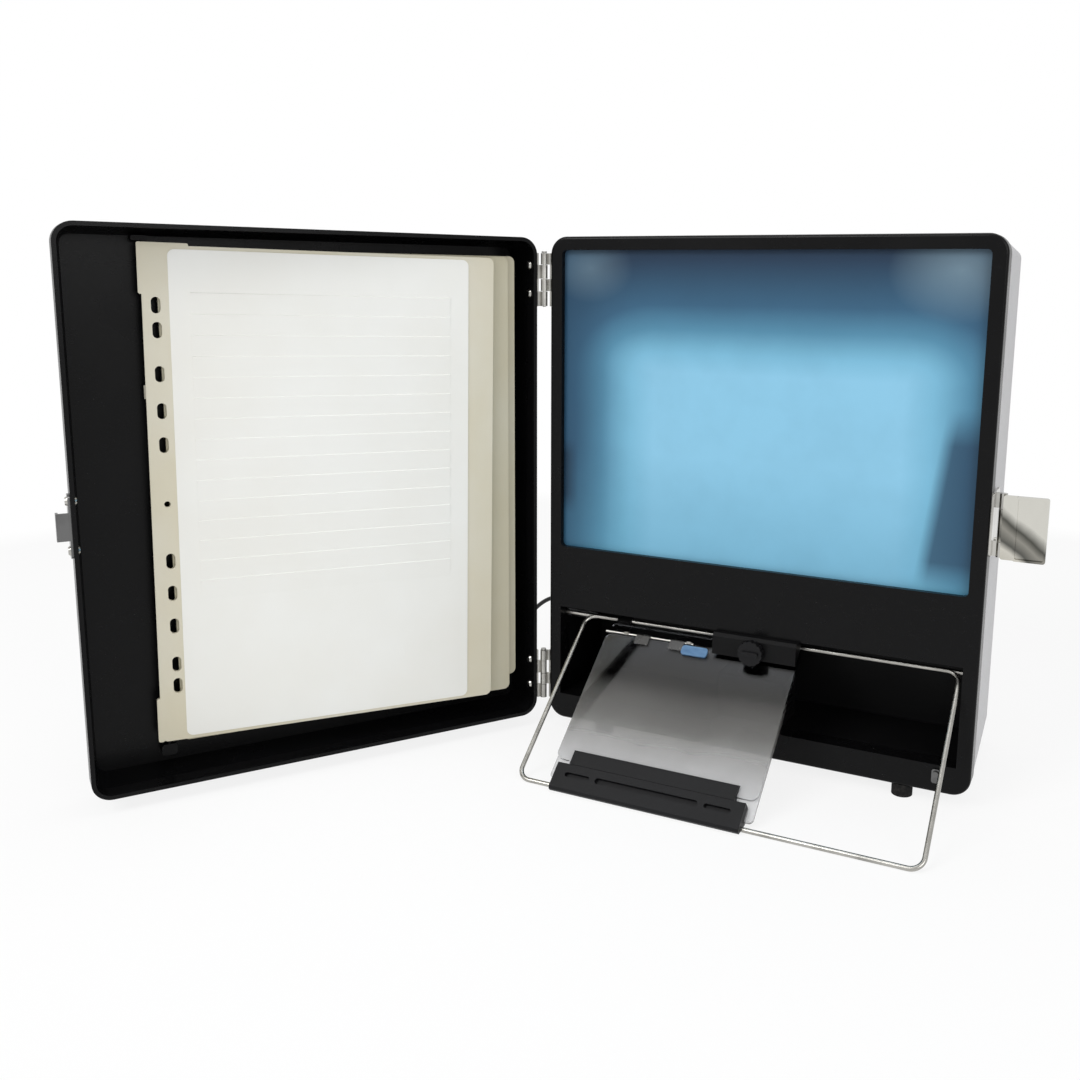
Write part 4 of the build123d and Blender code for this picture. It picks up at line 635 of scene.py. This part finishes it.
class READER_OT_index(bpy.types.Operator):
    """Finish the index leaves and make the front leaf's pocket sheet"""

    bl_idname = "reader.index"
    bl_label = "Index leaves"

    def execute(self, context):
        colours = context.scene.reader_colours
        sizes = context.scene.reader_sizes
        card = board("cream_board", tuple(colours.card), 0.35)
        dress(card, "index_leaf_front")
        # A darker, slightly yellower copy of the board for the middle and rear leaves, backing and pads.
        grey = board("darker_board", srgb(196, 192, 174), 0.5)
        dress(grey, "index_leaf_middle", "index_leaf_rear", "leaf_backing", "leaf_pads")

        # The sheet's own directions, from its largest face.
        source = NODES["pocket_sheet"].data
        face = max(source.polygons, key=lambda polygon: polygon.area)
        normal = face.normal.copy()
        if normal.y > 0:
            normal.negate()
        corners = {tuple(round(value, 6) for value in vertex.co) for vertex in source.vertices}
        corners = [Vector(corner) for corner in corners]
        middle = sum(corners, Vector()) / len(corners)
        runs = [b - a for a in corners for b in corners if abs((b - a).dot(normal)) < 1e-5]
        tallest = max(runs, key=lambda run: run.z)
        edge = sorted((run for run in runs if run.length > 0.01), key=lambda run: run.length)[0]
        width = edge.length
        across = edge.normalized()
        if across.x < 0:
            across.negate()
        upward = across.cross(normal)
        if upward.z < 0:
            upward.negate()
        height = max(abs(tallest.dot(upward)), 0.1)
        back = min((corner - middle).dot(normal) for corner in corners)
        place = Matrix.Translation(middle) @ Matrix((across, upward, normal)).transposed().to_4x4()

        piece = bpy.data.meshes.new("pocket_strips")
        body = bmesh.new()
        # Backing sheet with rounded corners.
        made = bmesh.ops.create_grid(body, x_segments=1, y_segments=1, size=0.5)
        bmesh.ops.scale(body, vec=(width, height, 1.0), verts=made["verts"])
        bmesh.ops.bevel(
            body,
            geom=made["verts"],
            offset=SHEET_CORNER,
            affect="VERTICES",
            segments=6,
            profile=0.5,
            material=-1,
        )
        grown = bmesh.ops.extrude_face_region(body, geom=body.faces[:])
        lifted = [item for item in grown["geom"] if isinstance(item, bmesh.types.BMVert)]
        bmesh.ops.translate(body, vec=(0, 0, SHEET_BACKING), verts=lifted)
        bmesh.ops.translate(body, vec=(0, 0, back + SHEET_SEAT), verts=body.verts[:])
        # Saw-tooth run of pockets inside a welded frame.
        count, pitch, lip = sizes.pocket_count, sizes.pocket_pitch, sizes.pocket_lip
        left, right = -width / 2 + STRIP_LEFT, width / 2 - STRIP_RIGHT
        top = height / 2 - STRIP_TOP
        base = back + STRIP_SEAT
        sill = base + STRIP_STEP
        outline = [(top - count * pitch, base)]
        for step in range(count):
            foot = top - (count - step) * pitch
            outline.append((foot + MOUTH_FOOT, sill))
            outline.append((foot + pitch - MOUTH_EDGE, sill + lip))
            outline.append((foot + pitch, sill))
        outline.append((top, base))
        ring = [body.verts.new((left, rise, out)) for rise, out in outline]
        strip = body.faces.new(ring)
        grown = bmesh.ops.extrude_face_region(body, geom=[strip])
        slid = [item for item in grown["geom"] if isinstance(item, bmesh.types.BMVert)]
        bmesh.ops.translate(body, vec=(right - left, 0, 0), verts=slid)
        # Weld rib round the pockets.
        rib = bmesh.ops.create_grid(body, x_segments=1, y_segments=1, size=0.5)
        span, rise = right - left + RIB_SPREAD, count * pitch + RIB_SPREAD
        bmesh.ops.scale(body, vec=(span, rise, 1.0), verts=rib["verts"])
        shift = ((left + right) / 2, top - count * pitch / 2, base)
        bmesh.ops.translate(body, vec=shift, verts=rib["verts"])
        rib_face = [face for face in body.faces if all(vertex in rib["verts"] for vertex in face.verts)]
        bmesh.ops.inset_region(body, faces=rib_face, thickness=RIB_WIDTH, depth=0.0)
        bmesh.ops.delete(body, geom=rib_face, context="FACES_ONLY")
        band = [face for face in body.faces if any(vertex in rib["verts"] for vertex in face.verts)]
        grown = bmesh.ops.extrude_face_region(body, geom=band)
        raised = [item for item in grown["geom"] if isinstance(item, bmesh.types.BMVert)]
        bmesh.ops.translate(body, vec=(0, 0, RIB_HEIGHT), verts=raised)
        bmesh.ops.recalc_face_normals(body, faces=body.faces[:])
        bmesh.ops.transform(body, matrix=place, verts=body.verts[:])
        body.to_mesh(piece)
        body.free()

        white = Finish("pocket_film", tuple(colours.pocket), 0.42, specular=0.3)
        white.shader.inputs["Coat Weight"].default_value = 0.15
        cloud = white.noise(12.0, 3.0)
        warm = srgb(236, 235, 229)
        white.colour(white.ramp(cloud, [(0.3, warm), (0.65, tuple(colours.pocket))]))
        white.relief(white.noise(90.0, 3.0, (1.0, 1.0, 3.0)), 0.15, 0.0003)
        piece.materials.append(white.material)
        strips = bpy.data.objects.new("pocket_strips", piece)
        context.scene.collection.objects.link(strips)
        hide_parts("pocket_sheet")
        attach(strips, "index_leaf")
        return {"FINISHED"}


class READER_OT_lead(bpy.types.Operator):
    """Make the lead from its gland to the coil of spare lead and the plug"""

    bl_idname = "reader.lead"
    bl_label = "Lead and coil"

    def execute(self, context):
        sizes = context.scene.reader_sizes
        points = [case_point(*point) for point in LEAD_ROUTE]
        rise = sizes.layer_rise * 1000
        turns = len(RING_ORDER)
        steps = STEPS_A_TURN
        for step in range(1, turns * steps + 2):
            turned = step * 360 / steps
            turn = min(int(turned // 360), turns - 1)
            within = turned - 360 * turn
            radius = RING_RADII[RING_ORDER[turn]]
            level = turn // TURNS_A_LAYER
            if turn < turns - 1:
                share = ease((within - 290) / 70)
                radius += share * (RING_RADII[RING_ORDER[turn + 1]] - radius)
                height = TABLE_LEVEL + rise * (level + share * ((turn + 1) // TURNS_A_LAYER - level))
            else:
                radius += ease((within - 215) / 75) * (OUTSIDE_RADIUS - radius)
                height = TABLE_LEVEL + rise * level - ease((within - 270) / 75) * (rise * level - LAST_DROP)
            angle = radians(ENTRY_ANGLE - turned)
            radius /= cos(pi / steps) ** 0.75
            points.append(
                case_point(
                    COIL_CENTRE[0] + radius * cos(angle),
                    COIL_CENTRE[1] + radius * sin(angle),
                    height,
                )
            )
        points += [case_point(*point) for point in PLUG_TAIL]
        line = bpy.data.curves.new("supply_lead", "CURVE")
        line.dimensions = "3D"
        spline = line.splines.new("NURBS")
        spline.points.add(len(points) - 1)
        for control, point in zip(spline.points, points):
            control.co = (*point, 1.0)
        spline.order_u = 3
        spline.use_endpoint_u = True
        spline.resolution_u = 6
        line.bevel_depth = sizes.lead_width / 2
        line.bevel_resolution = 4
        line.use_fill_caps = True
        sheath = Finish("lead_sheath", srgb(27, 27, 29), 0.38, specular=0.35)
        dust = sheath.noise(240.0, 4.0)
        sheath.colour(sheath.ramp(dust, [(0.4, srgb(22, 22, 24)), (0.8, srgb(44, 43, 42))]))
        sheath.relief(sheath.noise(1500.0, 2.0), 0.2, 0.00008)
        line.materials.append(sheath.material)
        lead = bpy.data.objects.new("supply_lead", line)
        context.scene.collection.objects.link(lead)
        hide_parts("power_lead", "lead_coil")
        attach(lead, "case")
        return {"FINISHED"}


class READER_OT_studio(bpy.types.Operator):
    """Set the floor, the white surround, the lamps and the camera"""

    bl_idname = "reader.studio"
    bl_label = "Studio"

    def execute(self, context):
        scene = context.scene
        mesh = bpy.data.meshes.new("floor")
        body = bmesh.new()
        bmesh.ops.create_grid(body, x_segments=2, y_segments=2, size=4.0)
        body.to_mesh(mesh)
        body.free()
        floor = bpy.data.objects.new("floor", mesh)
        scene.collection.objects.link(floor)
        paper = Finish("white_paper", (0.86, 0.86, 0.86), 0.9, specular=0.1)
        ground = paper.noise(3.0, 2.0)
        paper.colour(paper.ramp(ground, [(0.3, (0.85, 0.85, 0.85)), (0.7, (0.88, 0.88, 0.88))]))
        glow = paper.node("ShaderNodeEmission")
        glow.inputs["Strength"].default_value = 1.0
        seen = paper.node("ShaderNodeLightPath")
        direct = paper.maths("MULTIPLY", seen.outputs["Is Camera Ray"], 0.84)
        mirror = paper.maths("MULTIPLY", seen.outputs["Is Glossy Ray"], 0.75)
        through = paper.maths("MULTIPLY", seen.outputs["Is Transmission Ray"], 0.84)
        share = paper.maths("MAXIMUM", paper.maths("MAXIMUM", direct, mirror), through)
        # Away from the object the floor runs into the white surround.
        parts = paper.node("ShaderNodeVectorMath", operation="LENGTH")
        paper.link(paper.place(), parts.inputs[0])
        away = paper.spread(parts.outputs["Value"], 0.45, 1.0, 0.0, 1.0)
        away = paper.maths("MULTIPLY", away, seen.outputs["Is Camera Ray"])
        share = paper.maths("MAXIMUM", share, away)
        mix = paper.node("ShaderNodeMixShader")
        paper.link(share, mix.inputs["Fac"])
        paper.link(paper.shader.outputs["BSDF"], mix.inputs[1])
        paper.link(glow.outputs["Emission"], mix.inputs[2])
        output = paper.tree.nodes["Material Output"]
        paper.link(mix.outputs["Shader"], output.inputs["Surface"])
        mesh.materials.append(paper.material)

        world = bpy.data.worlds.new("studio")
        scene.world = world
        world.use_nodes = True
        tree = world.node_tree
        surround = tree.nodes["Background"]
        surround.inputs["Color"].default_value = (1.0, 1.0, 1.0, 1.0)
        rays = tree.nodes.new("ShaderNodeLightPath")
        first = tree.nodes.new("ShaderNodeMath")
        first.operation = "MAXIMUM"
        tree.links.new(rays.outputs["Is Camera Ray"], first.inputs[0])
        tree.links.new(rays.outputs["Is Transmission Ray"], first.inputs[1])
        gloss = tree.nodes.new("ShaderNodeMath")
        gloss.operation = "MULTIPLY"
        gloss.inputs[1].default_value = 0.62
        tree.links.new(rays.outputs["Is Glossy Ray"], gloss.inputs[0])
        second = tree.nodes.new("ShaderNodeMath")
        second.operation = "MAXIMUM"
        tree.links.new(first.outputs[0], second.inputs[0])
        tree.links.new(gloss.outputs[0], second.inputs[1])
        strength = tree.nodes.new("ShaderNodeMapRange")
        strength.inputs["To Min"].default_value = 0.46
        strength.inputs["To Max"].default_value = 1.0
        tree.links.new(second.outputs[0], strength.inputs["Value"])
        tree.links.new(strength.outputs["Result"], surround.inputs["Strength"])

        for name, spot, aim, size, power in (
            ("key", (-0.7, -1.5, 1.5), (0.0, 0.05, 0.15), 1.0, 23.0),
            ("fill", (1.4, -1.0, 0.9), (0.0, 0.05, 0.15), 0.9, 9.0),
            ("top", (0.1, 0.3, 1.7), (0.0, 0.1, 0.1), 1.2, 7.0),
        ):
            light = bpy.data.lights.new(name, "AREA")
            light.shape = "SQUARE"
            light.size = size
            light.energy = power
            lamp = bpy.data.objects.new(name, light)
            lamp.location = spot
            lamp.rotation_euler = (Vector(aim) - Vector(spot)).to_track_quat("-Z", "Y").to_euler()
            scene.collection.objects.link(lamp)

        yaw, pitch, roll = radians(CAMERA_YAW), radians(CAMERA_PITCH), radians(CAMERA_ROLL)
        forward = Vector((sin(yaw) * cos(pitch), cos(yaw) * cos(pitch), -sin(pitch)))
        right = Vector((cos(yaw), -sin(yaw), 0.0))
        up = right.cross(forward)
        turned_right = cos(roll) * right + sin(roll) * up
        turned_up = -sin(roll) * right + cos(roll) * up
        view = bpy.data.cameras.new("camera")
        view.sensor_width = 36.0
        view.lens = CAMERA_LENS
        view.shift_x, view.shift_y = CAMERA_SHIFT
        view.clip_start = 0.01
        camera = bpy.data.objects.new("camera", view)
        camera.matrix_world = Matrix.Translation(CAMERA_PLACE) @ Matrix(
            (turned_right, turned_up, -forward)
        ).transposed().to_4x4()
        scene.collection.objects.link(camera)
        scene.camera = camera
        scene.view_settings.view_transform = "Standard"
        return {"FINISHED"}


class READER_PT_panel(bpy.types.Panel):
    """Colours, sizes and pieces of the reader"""

    bl_idname = "READER_PT_panel"
    bl_label = "Microfiche Reader"
    bl_space_type = "VIEW_3D"
    bl_region_type = "UI"
    bl_category = "Reader"

    def draw(self, context):
        layout = self.layout
        for group in (context.scene.reader_colours, context.scene.reader_sizes):
            column = layout.column()
            for key in group.__annotations__:
                column.prop(group, key)
        for operator in OPERATORS:
            layout.operator(operator.bl_idname)


OPERATORS = (
    READER_OT_mouldings,
    READER_OT_shell,
    READER_OT_screen,
    READER_OT_metalwork,
    READER_OT_glassware,
    READER_OT_index,
    READER_OT_lead,
    READER_OT_studio,
)
CLASSES = (ReaderColours, ReaderSizes, *OPERATORS, READER_PT_panel)


def register():
    """Register the classes and the scene's settings."""
    for item in CLASSES:
        bpy.utils.register_class(item)
    bpy.types.Scene.reader_colours = bpy.props.PointerProperty(type=ReaderColours)
    bpy.types.Scene.reader_sizes = bpy.props.PointerProperty(type=ReaderSizes)


def unregister():
    """Remove the settings and the classes."""
    del bpy.types.Scene.reader_sizes
    del bpy.types.Scene.reader_colours
    for item in reversed(CLASSES):
        bpy.utils.unregister_class(item)


def main():
    """Make every piece, then the stage."""
    register()
    bpy.ops.reader.mouldings()
    bpy.ops.reader.shell()
    bpy.ops.reader.screen()
    bpy.ops.reader.metalwork()
    bpy.ops.reader.glassware()
    bpy.ops.reader.index()
    bpy.ops.reader.lead()
    bpy.ops.reader.studio()


if __name__ == "__main__":
    main()
